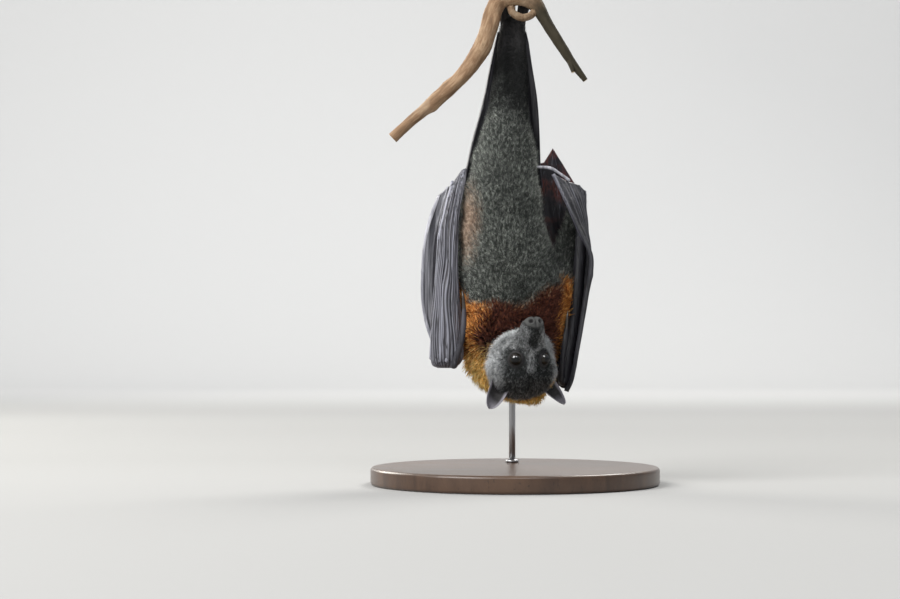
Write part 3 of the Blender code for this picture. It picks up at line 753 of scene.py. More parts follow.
def unwrap(mesh, points):
    # an unwrap of the body's own shape: the trunk, the head and each limb rolled out flat
    faces = len(mesh.polygons)
    totals = gathered(mesh.polygons, "loop_total", 1, np.int32)
    faceOf = np.repeat(np.arange(faces), totals)
    corner = points[gathered(mesh.loops, "vertex_index", 1, np.int32)]
    middle = np.zeros((faces, 3))
    for k in range(3):
        middle[:, k] = np.bincount(faceOf, corner[:, k], faces) / totals
    rows = throughPoints(body["trunk"], 200)[::-1]

    def rolled(name, flat, centre, along, side=0):
        # an angle stays on the same turn as its face's middle, so no face is torn across the seam
        left, wide, low, tall, start, length = atlas[name]
        angle = np.arctan2(flat[:, 1], flat[:, 0])
        about = np.arctan2(centre[:, 1], centre[:, 0])
        angle = (angle - about + np.pi) % (2 * np.pi) - np.pi + about
        u = left + atlas["sideStep"] * side + wide * (angle + np.pi) / (2 * np.pi)
        return np.stack([u, low + tall * (along - start) / length], axis=1)

    def level(where):
        centre = np.stack([np.interp(where[:, 2], rows[:, 0], rows[:, k]) for k in (1, 2)], axis=1)
        return where[:, :2] - centre

    local = intoHead(corner)
    localMiddle = intoHead(middle)
    isHead = (headFill(localMiddle) < 1.04)[faceOf]
    size = np.interp(middle[:, 2], rows[:, 0], rows[:, 3])
    legStart, armStart = atlas["legs"][4], atlas["arms"][4]
    isLeg = (middle[:, 2] > legStart)[faceOf]
    isArm = ((np.abs(level(middle)[:, 0]) > size * 1.02) & (middle[:, 2] > armStart))[faceOf] & ~isLeg
    result = rolled("trunk", level(corner), level(middle)[faceOf], corner[:, 2])
    onHead = rolled("head", local[:, 1:], localMiddle[faceOf][:, 1:], local[:, 0])
    result = np.where(isHead[:, None], onHead, result)
    for name, owned, split in (("legs", isLeg, body["between"]), ("arms", isArm, 0)):
        for side, limb in enumerate(body[name]):
            path = throughPoints(limb, 60)
            if name == "legs":
                path[:, 1] = 12
            centre = np.stack([np.interp(middle[:, 2], path[:, 2], path[:, k]) for k in (0, 1)], axis=1)
            mine = (middle[:, 0] < split)[faceOf] == (side == 0)
            flat = corner[:, :2] - centre[faceOf]
            onLimb = rolled(name, flat, (middle[:, :2] - centre)[faceOf], corner[:, 2], side)
            result = np.where((owned & mine & ~isHead)[:, None], onLimb, result)
    return np.clip(result, atlas["margin"], 1 - atlas["margin"])


def tuftBlade(rings):
    # one closed tuft a unit long, three-sided and bowed away from the skin
    heights = [[0.0], [0.0, 0.40, 1.0], [0.0, 0.26, 0.62, 1.0]][rings]
    widths = [[0.5], [0.0, 0.5, 0.0], [0.0, 0.5, 0.42, 0.0]][rings]
    points, faces, levels = [], [], []
    for height, width in zip(heights, widths):
        bow = 0.12 * math.sin(math.pi * height)
        if width == 0:
            points.append((0, bow, height))
            levels.append(height)
            continue
        points += [(-width, bow - 0.010, height), (width, bow - 0.010, height), (0, bow + 0.030, height)]
        levels += [height] * 3
    if rings == 0:
        points.append((0, 0.03, 1.0))
        levels.append(1.0)
        faces = [(0, 1, 3), (1, 2, 3), (2, 0, 3), (0, 2, 1)]
    for k in range(3 if rings else 0):
        n = (k + 1) % 3
        faces.append((0, 1 + n, 1 + k))
        for ring in range(rings - 1):
            low = 1 + ring * 3
            faces.append((low + k, low + n, low + n + 3, low + k + 3))
        last = 1 + (rings - 1) * 3
        faces.append((last + k, last + n, len(points) - 1))
    mesh = bpy.data.meshes.new("tuft")
    mesh.from_pydata(points, [], faces)
    faceOut(mesh)
    mesh.shade_smooth()
    setMark(mesh, "tip", levels)
    patch = mesh.attributes.new("patch", "FLOAT2", "CORNER")
    for face in mesh.polygons:
        strip = face.index // max(1, len(faces) // 3) if rings else face.index
        share = 3 if rings else 4
        mine = sorted({levels[k] for k in face.vertices})
        for spot, loop in enumerate(face.loop_indices):
            level = levels[mesh.loops[loop].vertex_index]
            same = [k for k in face.vertices if levels[k] == level]
            aside = 0.5 if len(same) == 1 else same.index(mesh.loops[loop].vertex_index) / (len(same) - 1)
            height = level if len(mine) > 1 else spot / 2
            patch.data[loop].vector = ((strip + aside) / share, height)
    return placed("tuft", mesh)


def scatterTree():
    # tufts on the skin: they lie along "comb" and take their length from "reach"
    tree = bpy.data.node_groups.new("scatterTufts", "GeometryNodeTree")
    sockets = {}
    for name, kind in (("Skin", "Geometry"), ("Tuft", "Object"), ("Density", "Float"), ("Where", "String"),
                       ("Width", "Float"), ("Stray", "Float"), ("Patch", "Float"), ("Seed", "Int"),
                       ("Coat", "Material")):
        made = tree.interface.new_socket(name, in_out="INPUT", socket_type="NodeSocket" + kind)
        sockets[name] = made.identifier
    tree.interface.new_socket("Coat", in_out="OUTPUT", socket_type="NodeSocketGeometry")
    bench = Bench(tree)
    given = bench.add("NodeGroupInput")

    def asked(name):
        return Wire(bench, given.socket.node.outputs[name])

    def named(name, kind):
        return bench.add("GeometryNodeInputNamedAttribute", {"data_type": kind}, {"Name": name})

    def rolledDice(low, high, seed):
        values = {2: low, 3: high, "Seed": seed}
        return bench.add("FunctionNodeRandomValue", {"data_type": "FLOAT"}, values, out=1)

    def vectors(operation, values):
        return bench.add("ShaderNodeVectorMath", {"operation": operation}, values)

    where = named(asked("Where"), "FLOAT")
    scatter = bench.add("GeometryNodeDistributePointsOnFaces", {"distribute_method": "RANDOM"},
                        {"Mesh": asked("Skin"), "Density": asked("Density") * where, "Seed": asked("Seed")})
    normal = Wire(bench, scatter.socket.node.outputs["Normal"])
    low = asked("Stray") * -1.0
    jitter = bench.add("FunctionNodeRandomValue", {"data_type": "FLOAT_VECTOR"},
                       {0: low, 1: asked("Stray"), "Seed": 5})
    aim = vectors("ADD", {0: named("comb", "FLOAT_VECTOR"), 1: jitter})
    turn = bench.add("FunctionNodeAlignRotationToVector", {"axis": "Z"}, {"Vector": aim})
    turn = bench.add("FunctionNodeAlignRotationToVector", {"axis": "Y", "pivot_axis": "Z"},
                     {"Rotation": turn, "Vector": normal})
    length = named("reach", "FLOAT") * rolledDice(*tuft["lengths"], 6) * mm
    width = asked("Width") * rolledDice(*tuft["widths"], 7) * mm
    size = bench.add("ShaderNodeCombineXYZ", None, {0: width, 1: length, 2: length})
    blade = bench.add("GeometryNodeObjectInfo", None, {"Object": asked("Tuft")}, out="Geometry")
    tufts = bench.add("GeometryNodeInstanceOnPoints", None,
                      {"Points": scatter, "Instance": blade, "Rotation": turn, "Scale": size})
    marked = bench.add("GeometryNodeStoreNamedAttribute", {"data_type": "FLOAT", "domain": "INSTANCE"},
                       {"Geometry": tufts, "Name": "tone", "Value": rolledDice(0.0, 1.0, 8)})
    real = bench.add("GeometryNodeRealizeInstances", None, {"Geometry": marked})
    shift = vectors("SUBTRACT", {0: named("patch", "FLOAT_VECTOR"), 1: (0.5, 0.5, 0.0)})
    shift = vectors("SCALE", {0: shift, "Scale": asked("Patch")})
    spot = vectors("ADD", {0: named("rootUv", "FLOAT_VECTOR"), 1: shift})
    mapped = bench.add("GeometryNodeStoreNamedAttribute", {"data_type": "FLOAT2", "domain": "CORNER"},
                       {"Geometry": real, "Name": "OFBake", "Value": spot})
    painted = bench.add("GeometryNodeSetMaterial", None, {"Geometry": mapped, "Material": asked("Coat")})
    bench.add("NodeGroupOutput", None, {0: painted})
    return tree, sockets


furColours = {
    # root, middle, plain tip and pale tip of each part of the coat
    "body": [(0.009, 0.010, 0.010), (0.026, 0.029, 0.027), (0.054, 0.059, 0.054), (0.36, 0.385, 0.345)],
    "brown": [(0.024, 0.014, 0.010), (0.110, 0.066, 0.042), (0.290, 0.200, 0.140), (0.58, 0.46, 0.36)],
    "mantle": [(0.055, 0.012, 0.004), (0.360, 0.098, 0.018), (0.640, 0.240, 0.050), (0.84, 0.48, 0.15)],
    # deep: the ruff's painted shade
    "deep": [(0.008, 0.002, 0.001), (0.028, 0.006, 0.004), (0.066, 0.015, 0.008), (0.15, 0.05, 0.024)],
    # straw: near white, partly the fringe's own colour and partly painted backlight glow; the golden tuft
    # takes it too
    "straw": [(0.300, 0.130, 0.030), (0.780, 0.430, 0.095), (0.980, 0.700, 0.235), (1.00, 0.86, 0.44)],
    "face": [(0.009, 0.010, 0.010), (0.024, 0.027, 0.027), (0.052, 0.058, 0.060), (0.60, 0.63, 0.64)],
    "frost": [(0.070, 0.073, 0.076), (0.400, 0.415, 0.425), (0.740, 0.765, 0.780), (1.00, 1.00, 1.00)],
    "limb": [(0.001, 0.001, 0.001), (0.002, 0.003, 0.003), (0.005, 0.006, 0.006), (0.04, 0.04, 0.04)],
}


def furColour(paint, tip, tone):
    soft = paint.noise(90.0, 2.0)
    clump = paint.noise(420.0, 2.0, 0.6, paint.place((1.0, 1.0, 0.6)))
    lengthwise = tip.between(0.02, 0.55)
    tipward = tip.between(0.48, 0.95)
    patchy = (paint.noise(45.0, 3.0) - 0.5) * 0.5
    paleShare = (tone * 0.6 + 0.2 + patchy + (clump - 0.5) * 2.2).between(0.56, 0.78)
    speckled = (tone * 7.31).maths("FRACT")

    def shades(name):
        root, middle, plain, pale = furColours[name]
        end = paint.blend(paleShare, plain, pale)
        return paint.blend(tipward, paint.blend(lengthwise, root, middle), end)

    def dithered(name, spread):
        # whole tufts go one way or the other where two colours meet
        mask = paint.mark(name)
        return (mask + (speckled - 0.5) * spread * (mask * (1.0 - mask) * 4.0)).between(0.25, 0.75)

    colour = shades("body")
    colour = paint.blend(dithered("brown", 0.8), colour, shades("brown"))
    colour = paint.blend(paint.mark("limb"), colour, shades("limb"))
    # the ruff's painted shade near the head
    ruff = paint.blend(dithered("deep", 0.9), shades("mantle"), shades("deep"))
    ruff = paint.blend(dithered("straw", 0.9), ruff, shades("straw"))
    colour = paint.blend(dithered("mantle", 0.7), colour, ruff)
    muzzle = paint.blend(dithered("frost", 1.0), shades("face"), shades("frost"))
    muzzle = paint.blend(dithered("golden", 1.0), muzzle, shades("straw"))
    colour = paint.blend(dithered("face", 0.5), colour, muzzle)
    dim = 0.45 + soft * 0.40 + clump.between(0.36, 0.64) * 0.7
    return paint.add("ShaderNodeVectorMath", {"operation": "SCALE"}, {0: colour, "Scale": dim})


def coatPaint():
    paint = Paint("coatFur")
    colour = furColour(paint, paint.mark("tip"), paint.mark("tone"))
    strands = paint.noise(1400.0, 2.0)
    sheen = {"Specular IOR Level": 0.18, "Sheen Weight": 0.04, "Sheen Roughness": 0.5}
    return paint.finish(colour, 0.58, (strands, 0.0002, 0.4), sheen)


def skinPaint():
    paint = Paint("bodySkin")
    fine = paint.noise(900.0, 4.0)
    coarse = paint.noise(260.0, 5.0)
    under = furColour(paint, 0.12 + paint.noise(600.0, 3.0) * 0.45, paint.noise(700.0, 2.0))
    bare = paint.mark("bare")
    leather = paint.ramp(coarse, (0.3, (0.008, 0.007, 0.008)), (0.7, (0.028, 0.026, 0.027)))
    leather = paint.blend(paint.mark("nose") * 0.6, leather, (0.100, 0.103, 0.100))
    leather = paint.blend(paint.mark("ear") * 0.70, leather, (0.330, 0.315, 0.360))
    colour = paint.blend(bare, under, leather)
    creases = paint.add("ShaderNodeTexVoronoi", {"feature": "DISTANCE_TO_EDGE"},
                        {"Vector": paint.place(), "Scale": 1500.0})
    height = fine * 0.6 + creases.between(0.0, 0.2) * bare * 0.25 + coarse * 0.4
    rough = 0.85 - bare * (0.36 - fine * 0.2)
    return paint.finish(colour, rough, (height, 0.0005, 0.7), {"Specular IOR Level": 0.35})


def growCoat(skin):
    mesh = skin.data
    points, normals = pointsOf(mesh), normalsOf(mesh)
    area = regions(points, normals)
    comb, reach, thick = combing(points, normals, area)
    source = placed("coatSource", mesh.copy())
    grown = source.data
    setMark(grown, "rootUv", unwrap(grown, points), "FLOAT2", "CORNER")
    setMark(grown, "comb", comb, "FLOAT_VECTOR")
    setMark(grown, "reach", reach)
    for name in coatMarks:
        setMark(grown, name, area[name])
    x, y, z = points.T
    trunk = throughPoints(body["trunk"], 200)[::-1]
    backward = y - np.interp(z, trunk[:, 0], trunk[:, 2])
    aside = np.abs(x - np.interp(z, trunk[:, 0], trunk[:, 1])) / np.interp(z, trunk[:, 0], trunk[:, 3])
    order = {name: number for number, name in enumerate(coat)}
    behind, upper, ruff = backward > 0, z > markings["waist"], area["mantle"] > 0.5
    owner = np.where(upper, order["bellyUpper"], order["bellyLower"])
    owner[behind] = np.where(upper, order["backUpper"], order["backLower"])[behind]
    owner[(z > markings["hips"]) | ((aside > 1.0) & (z > markings["shoulder"]))] = order["limbs"]
    owner[ruff] = np.where(behind, order["mantleBack"], order["mantleFront"])[ruff]
    owner[area["face"] > 0.5] = order["head"]
    triangles = np.array([face.vertices[:] for face in grown.polygons])
    sizes = gathered(grown.polygons, "area", 1, float)
    tree, sockets = scatterTree()
    paint = coatPaint()
    blades = {rings: tuftBlade(rings) for rings in (0, 1, 2)}
    share, widen = ((1.0, 1.0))
    for number, (name, (tufts, width, stray, rings, slotName)) in enumerate(coat.items()):
        here = np.where(owner == number, thick, 0)
        setMark(grown, "grow_" + name, here)
        room = float((here[triangles].mean(axis=1) * sizes).sum())
        host = placed("coat_" + name, grown)
        scatter = host.modifiers.new("scatter", "NODES")
        scatter.node_group = tree
        values = {"Tuft": blades[rings], "Density": tufts * share / room, "Where": "grow_" + name,
                  "Width": width * widen, "Stray": stray, "Patch": tuft["patch"],
                  "Seed": 20 + number, "Coat": paint}
        for key, value in values.items():
            scatter[sockets[key]] = value
        made = evaluated(host)
        host.modifiers.clear()
        host.data = made
        for attribute in [a.name for a in made.attributes]:
            spare = made.attributes[attribute]
            if spare.name in ("comb", "reach", "rootUv", "patch") or spare.name.startswith("grow_"):
                made.attributes.remove(spare)
        finishPiece(host, slotName, paint)
    for spare in [source, *blades.values()]:
        bpy.data.objects.remove(spare)


growCoat(bodySkin)


# The perch: a cut length of branch. Rows are x, y, z and radius.
perch = {
    "path": [(-110, 3, 312, 5.0), (-95, 2, 326, 4.9), (-82, 1, 337, 5.4), (-70, 1, 347, 6.6),
             (-56, 0, 359, 6.2), (-44, 0, 372, 7.0), (-36, 0, 383, 7.8), (-29, 0, 395, 8.1),
             (-23.5, 0, 411, 7.8), (-19.5, 0, 425.5, 7.8), (-13, 0, 436, 8.0), (0, 0, 439, 8.2),
             (11, 0, 437.5, 7.9), (19.5, 0, 431, 6.8), (26.5, 0, 419, 5.4), (35, 0, 405, 4.9),
             (44.6, 1, 390, 4.5), (52, 2, 379, 3.8), (58.5, 2.5, 370.5, 3.1), (63.5, 3, 364, 2.4)],
    "loop": [(-4, 0, 431, 3.7), (-2, -4, 424, 3.4), (6.5, -4.5, 419.8, 3.4), (15, -3, 422.5, 3.4),
             (19, 0, 430, 3.7)],
    "spur": [(48, 1.5, 385, 3.2), (50.6, 0, 377, 2.4), (52.2, -1, 371, 1.5)],
    # share of the length, turn round it, width and height
    "knots": [(0.13, 4.4, 2.2, 1.2), (0.20, 1.2, 2.6, 1.5), (0.235, 3.4, 2.0, 1.2), (0.45, 4.0, 2.6, 1.1),
              (0.80, 2.5, 2.0, 0.9), (0.68, 0.4, 1.8, 0.8)],
}


def perchAt(x):
    rows = throughPoints(perch["path"], 90)
    return [float(np.interp(x, rows[:, 0], rows[:, k])) for k in (1, 2, 3)]


def overPerch(x, angle, away):
    # angle 0 is behind the perch, 90 on top and 180 in front
    y, z, radius = perchAt(x)
    turn = math.radians(angle)
    return (x, y + (radius + away) * math.cos(turn), z + (radius + away) * math.sin(turn))


feet = {
    "middle": [-10.9, 9.0],
    "toeGap": 2.2,
    "toeRadius": 1.22,
    "clawRadius": 0.95,
    # angle round the perch, lift and share of the radius
    "toe": [(-26, 1.0, 0.9), (-8, 0.9, 0.95), (14, 0.7, 1.12), (32, 0.5, 0.94), (52, 0.5, 1.10),
            (70, 0.3, 0.95), (86, 0.1, 0.92)],
}


def footShapes(pile, side):
    ankle = body["legs"][side][-1]
    middle = feet["middle"][side]
    ball = overPerch(middle, -14, 4.0)
    rows = [(ankle[0], ankle[1], ankle[2] - 8, 4.6), (ankle[0], ankle[1] + 0.3, ankle[2], 5.2),
            ((ankle[0] + middle) / 2, (ankle[1] + ball[1]) / 2 + 0.6, (ankle[2] + ball[2]) / 2, 4.7),
            (*ball, 6.0)]
    path = throughPoints(rows, 40)
    grid = tubeGrid(path, 36, flat=0.62, rounds=(False, True))
    middles = grid.mean(axis=1, keepdims=True)
    tendons = 1 + 0.05 * np.cos(around(36) * 9)[None, :, None]
    pile.loft(middles + (grid - middles) * tendons, bare=1.0)
    for number in range(5):
        x = middle + (number - 2) * feet["toeGap"]
        path = [(*overPerch(x, angle, feet["toeRadius"] + 0.5 + lift), feet["toeRadius"] * k)
                for angle, lift, k in feet["toe"]]
        pile.tube(path, 44, 16, bare=1.0)


def earShape(pile, sign):
    root = fromHead(head["earRoot"][0], sign * head["earRoot"][1], head["earRoot"][2])
    reach = unit(topWay * 0.55 - noseWay * 0.5 + sideWay * head["earSpread"][sign] * sign)
    faceWay = topWay * 0.8 + noseWay * 0.4 + sideWay * head["earFace"][sign] * sign
    faceWay = unit(faceWay - reach * (reach @ faceWay))
    wide = np.cross(reach, faceWay)
    u = np.linspace(0, 1, 44)[:, None]
    v = np.linspace(-1, 1, 37)[None, :]
    half = head["earWidth"] / 2 * (1 - 0.2 * u) * np.sqrt(np.maximum(1 - u ** head["earBlunt"][sign], 0.004))
    cup = 5.5 * v ** 2 * (1 - 0.6 * u) - 2.0 + 0.5 * np.abs(v) ** 8
    ribs = 0.16 * np.sin(u * 46 + 0.6 * np.cos(v * 3)) * step(1.0, 0.5, np.abs(v)) * step(0.15, 0.35, u)
    along = head["earLength"] * (u - head["earBuried"])
    points = (root + reach * along[..., None] + wide * (half * v)[..., None]
              + faceWay * (cup + ribs)[..., None])
    thick = 0.32 + 0.55 * (1 - u) ** 1.5 * (1 - v ** 2) + 0.16 * step(0.8, 0.97, np.abs(v))
    thick = np.minimum(thick, 0.12 + 2.2 * (1.02 - np.abs(v)) + 0 * u)
    rim = step(0.70, 0.94, np.abs(v)) * step(0.05, 0.3, u) + 0.7 * step(0.55, 0.92, u + 0.1 * v)
    pile.sheet(points, thick, bare=1.0, ear=np.clip(rim + 0 * thick, 0, 1))


def buildSkin():
    mesh = bodySkin.data
    points, normals = pointsOf(mesh), normalsOf(mesh)
    area = regions(points, normals)
    marks = {name: area[name] for name in coatMarks}
    marks["nose"] = area["pad"]
    marks["bare"] = np.maximum(np.maximum(area["lid"], area["noseTip"]), step(372, 405, points[:, 2]))
    pile = Pile()
    pile.add(points, [face.vertices[:] for face in mesh.polygons], **marks)
    for side in (0, 1):
        footShapes(pile, side)
    for sign in (-1, 1):
        earShape(pile, sign)
    bpy.data.objects.remove(bodySkin)
    pairs = [part + side for part in ("leg", "upper_arm", "ear", "foot") for side in ("_left", "_right")]
    finishPiece(pile.build("skin"), "grey_body_fur", skinPaint(), "head", "neck", "trunk", *pairs)


buildSkin()


eyes = {
    "pupil": 0.50,             # share of the opening
    "iris": (0.020, 0.014, 0.007),
    "rim": (0.005, 0.004, 0.003),
    "cornea": 0.38,
}


def eyePaint():
    paint = Paint("eyeWet")
    out = paint.mark("fromPupil")
    streaks = paint.noise(1500.0, 3.0)
    iris = paint.blend(streaks.between(0.35, 0.7), eyes["rim"], eyes["iris"])
    ring = paint.blend(out.between(0.75, 1.0), iris, eyes["rim"])
    beyondPupil = (out + streaks * 0.06).between(eyes["pupil"], eyes["pupil"] + 0.10)
    colour = paint.blend(beyondPupil, (0.002, 0.002, 0.002), ring)
    wet = 0.25 + paint.mark("high").between(-0.1, 0.35) * 0.75
    return paint.finish(colour, 0.30, None, {"Specular IOR Level": 0.1, "Coat Weight": wet,
                                             "Coat Roughness": 0.02, "Coat IOR": 1.75})


def buildEyes():
    paint = eyePaint()
    for name, sign in (("Left", -1), ("Right", 1)):
        centre, gaze = eyeFrame(sign)
        middle = fromHead(*centre)
        aim = unit(gaze @ headTurn)
        across = unit(np.cross(aim, (0, 0, 1.0)))
        up = np.cross(aim, across)
        turn = np.radians(np.linspace(1.5, 178.5, 72))[:, None]
        spin = around(72)[None, :]
        share = np.degrees(turn) / head["opening"]
        radius = head["eyeRadius"] * 0.985 + eyes["cornea"] * (1 - step(0.15, 0.85, share))
        flat = np.sin(turn)[..., None] * (across * np.cos(spin)[..., None] + up * np.sin(spin)[..., None])
        points = middle + (aim * np.cos(turn)[..., None] + flat) * radius[..., None]
        pile = Pile()
        pile.loft(points, fromPupil=np.broadcast_to(share, points.shape[:2]),
                  high=(points - middle)[..., 2] / radius)
        finishPiece(pile.build("eye" + name), "eye", paint, "eye_" + name.lower())


buildEyes()


claws = {
    # angle round the perch, lift and share of the radius
    "hook": [(84, 0.2, 0.95), (99, 0.15, 1.0), (118, 0.1, 0.86), (138, 0.0, 0.58), (156, 0.0, 0.20)],
    "thumbs": {"Left": [(-46, -19.6, 156, 1.9), (-46.2, -20.2, 160, 1.75), (-46.5, -21.6, 165, 1.45),
                        (-47, -21.5, 170, 0.95), (-47.6, -19.8, 174, 0.35)],
               "Right": [(46, -4.0, 138, 1.9), (46.1, -4.5, 142, 1.7), (46.5, -6.0, 147, 1.45),
                         (46.9, -6.0, 152, 0.95), (47.5, -4.5, 156, 0.35)]},
}


def clawPaint():
    paint = Paint("clawHorn")
    streaks = paint.noise(700.0, 4.0, where=paint.place((1.0, 1.0, 0.25)))
    colour = paint.ramp(streaks, (0.25, (0.010, 0.008, 0.007)), (0.75, (0.060, 0.048, 0.040)))
    return paint.finish(colour, 0.22 + streaks * 0.2, (streaks, 0.0002, 0.5),
                        {"Coat Weight": 0.3, "Coat Roughness": 0.15})


def buildClaws():
    paint = clawPaint()
    for side, name in ((0, "Left"), (1, "Right")):
        pile = Pile()
        for number in range(5):
            x = feet["middle"][side] + (number - 2) * feet["toeGap"]
            path = [(*overPerch(x, angle, feet["clawRadius"] * k + 0.3 + lift), feet["clawRadius"] * k)
                    for angle, lift, k in claws["hook"]]
            pile.tube(path, 32, 14, 1.15)
        finishPiece(pile.build("clawsFoot" + name), "claw_horn", paint,
                    *["claw_%s_%d" % (name.lower(), number + 1) for number in range(5)])
        pile = Pile()
        pile.tube(claws["thumbs"][name], 40, 18, 0.8)
        finishPiece(pile.build("clawThumb" + name), "claw_horn", paint, "claw_thumb_" + name.lower())


buildClaws()


# The wings. Rows of points run down each finger or edge, x, y and z.
wings = {
    "forearms": {"Left": [(-50, 26, 270, 6), (-56, 21, 225, 5.2), (-61, 14, 160, 4.5), (-62, 7, 114, 5.2)],
                 "Right": [(60.5, 24, 262, 5.2), (60, 22, 222, 5.0), (55, 15, 160, 4.6), (44, 5, 93, 4.8)]},
    "thumbs": {"Left": [(-55, -12, 108, 3.6), (-48.5, -18.2, 128, 2.4), (-46.5, -19.8, 143, 2.5),
                        (-46, -19.5, 158, 1.9)],
               "Right": [(42, 3, 94, 3.2), (42.5, -3, 111, 2.4), (44.8, -4.8, 127, 2.4),
                         (46, -4, 140, 1.9)]},
    # z, centre x, centre y, half width, half depth, tilt
    "bundle": [(105, -62, -3, 8, 4, 0), (109, -61.5, -4, 13, 8, .1), (118, -61.5, -5, 14, 9.5, .1),
               (150, -62, -6, 12.5, 10, 0), (190, -61.5, -6, 9.5, 9, 0), (228, -60, -5, 8.3, 7.3, 0),
               (246, -57.5, -4, 7.3, 5.8, .15), (264, -53, -2, 6.8, 4.4, .25), (276, -49, 0, 5, 3, .35),
               (284, -46, 1, 2.2, 1.4, .4)],
    # finger bones on the bundle: z, x and radius
    "fingers": [[(114, -75.5, 2.0), (130, -74.5, 1.9), (166, -71.2, 1.7), (202, -69.4, 1.6),
                 (218, -68.4, 1.9), (223, -67.6, 2.5), (230, -66.5, 1.8), (252, -61.5, 1.5),
                 (266, -57.8, 1.6), (272, -56.4, 1.9)],
                [(112, -67.6, 2.2), (130, -66.6, 1.9), (166, -65.2, 1.6), (208, -62.6, 1.7),
                 (212, -62.3, 2.0), (218, -62.0, 1.6), (256, -58.2, 1.2), (270, -54.5, 1.0)],
                [(112, -61.5, 2.2), (128, -61.2, 1.9), (166, -60.2, 1.6), (192, -58.2, 1.7),
                 (197, -57.6, 2.2), (203, -56.9, 1.6), (240, -54.3, 1.3), (272, -48.4, 1.1),
                 (282, -45.6, 0.9)],
                [(112, -54.0, 2.2), (130, -53.2, 1.8), (166, -53.0, 1.5), (206, -53.2, 1.5),
                 (236, -52.4, 1.2)]],
    "outerLeft": [[(-70, 6, 118), (-81, 5, 150), (-83.5, 3, 180), (-80, 4, 225), (-69, 7, 260)],
                  [(-67, 8, 116), (-73, 9, 150), (-75, 9, 185), (-72, 10, 225), (-61, 12, 268)],
                  [(-62, 14, 114), (-66, 14, 150), (-67, 16, 185), (-63, 20, 225), (-54, 24, 272)]],
    "innerLeft": [[(-62, 14, 116), (-63, 20, 170), (-60, 25, 225), (-53, 28, 272)],
                  [(-50, 24, 116), (-56, 28, 170), (-54, 31, 225), (-46, 31, 274)],
                  [(-34, 28, 118), (-38, 33, 170), (-38, 33, 225), (-32, 26, 276)]],
    "rearRight": [[(26, 26, 100), (32, 32, 150), (26, 35, 205), (19, 32, 250), (13, 25, 288)],
                  [(30, 23, 96), (38, 32, 150), (43, 35, 205), (38, 34, 250), (27, 24, 291)],
                  [(34, 20, 92), (44, 30, 150), (50, 34, 205), (46, 34, 255), (35, 26, 304)],
                  [(41, 10, 88), (51, 20, 140), (58, 27, 205), (60.5, 27, 240), (61, 25, 262)]],
    "frontRight": [[(42, 9, 87), (46.5, 11, 98), (56.5, 19.5, 150), (63, 22.5, 205), (64, 22, 240),
                    (64, 22, 265)],
                   [(45.5, 4, 86), (51, 6, 98), (60, 12.5, 150), (66.6, 12, 205), (65.2, 14, 238),
                    (58.5, 15, 270)],
                   [(46.5, 0, 85), (52, 0.5, 98), (60.4, 3, 150), (68, -1, 204), (60, 2.5, 240),
                    (50.5, 5, 267), (47, 5.5, 273)],
                   [(46, -5, 84), (51, -7.5, 97), (56, -9.5, 124), (63, -12.5, 166), (68, -15, 203),
                    (55.4, -10.5, 231), (45, -8, 255), (34, -6, 279)]],
    "legLeft": [[(-47.5, 17, 264), (-43.6, 15, 284), (-37, 12.5, 313), (-28.2, 12, 346), (-21.9, 12, 378),
                 (-15.6, 12.5, 408)],
                [(-40, 21, 262), (-36, 18, 283), (-28, 16, 313), (-20.5, 14, 346), (-15.5, 13, 378),
                 (-12, 12.5, 410)],
                [(-28, 21, 262), (-24, 18, 282), (-18, 17, 313), (-15, 14, 346), (-12, 13, 378),
                 (-10, 12.5, 411)]],
    "legRight": [[(25, 17, 268), (23.5, 14, 286), (22.4, 12.5, 317), (20.6, 12, 346), (15.4, 12, 378),
                  (10.5, 12.5, 408)],
                 [(20, 20, 266), (18.5, 18, 285), (15.5, 16, 317), (12.5, 14, 346), (8.5, 13, 378),
                  (7, 12.5, 410)],
                 [(10, 20, 266), (9, 18, 284), (7, 17, 317), (5, 14, 346), (5, 13, 378), (5, 12.5, 411)]],
    "smallBone": [(20.7, 4, 286, 1.2), (31.5, 0, 284.8, 1.5), (40, 0, 280, 1.2), (48.6, 3, 274, 1.4)],
    "skinHalf": 0.32,
    "hem": 0.9,
    "dark": (0.012, 0.011, 0.015),
    "grey": (0.040, 0.038, 0.048),
    # painted highlight colour for bones, fold crests, edges and streaks along the fingers
    "ridge": (0.345, 0.350, 0.410),
    # the thin skin's colours: a painted glow of light shining through it from behind, pale with darker ribs
    "backlitDark": (0.150, 0.150, 0.170),
    "backlitLight": (0.560, 0.560, 0.600),
}


drapes = {
    # rows, points between columns, bones as column and size, sag, folds, seed, share of each painted light:
    # inner red glow, painted shade, thin skin's backlit glow and strength of the ridge highlights
    "outerLeft": (120, 26, [(0, 0.9), (1, 1.1)], 0.8, 0.30, 2, {"thin": 1.0}),
    "innerLeft": (90, 22, [], 0.8, 0.35, 5, {}),
    "legLeft": (100, 16, [(0, 0.7)], 0.6, 0.25, 7, {"shade": 0.5, "strength": 0.35}),
    "rearRight": (120, 22, [(2, 0.9), (3, 1.2)], -0.9, 0.45, 9, {"inner": 1.0, "strength": 0.5}),
    "frontRight": (150, 26, [(0, 0.8), (1, 0.6), (2, 0.9), (3, 1.25)], 1.3, 0.45, 12,
                   {"shade": 1.0, "thin": 0.16}),
    "legRight": (100, 16, [(0, 0.7)], 0.6, 0.25, 15, {"shade": 0.8, "strength": 0.2}),
}


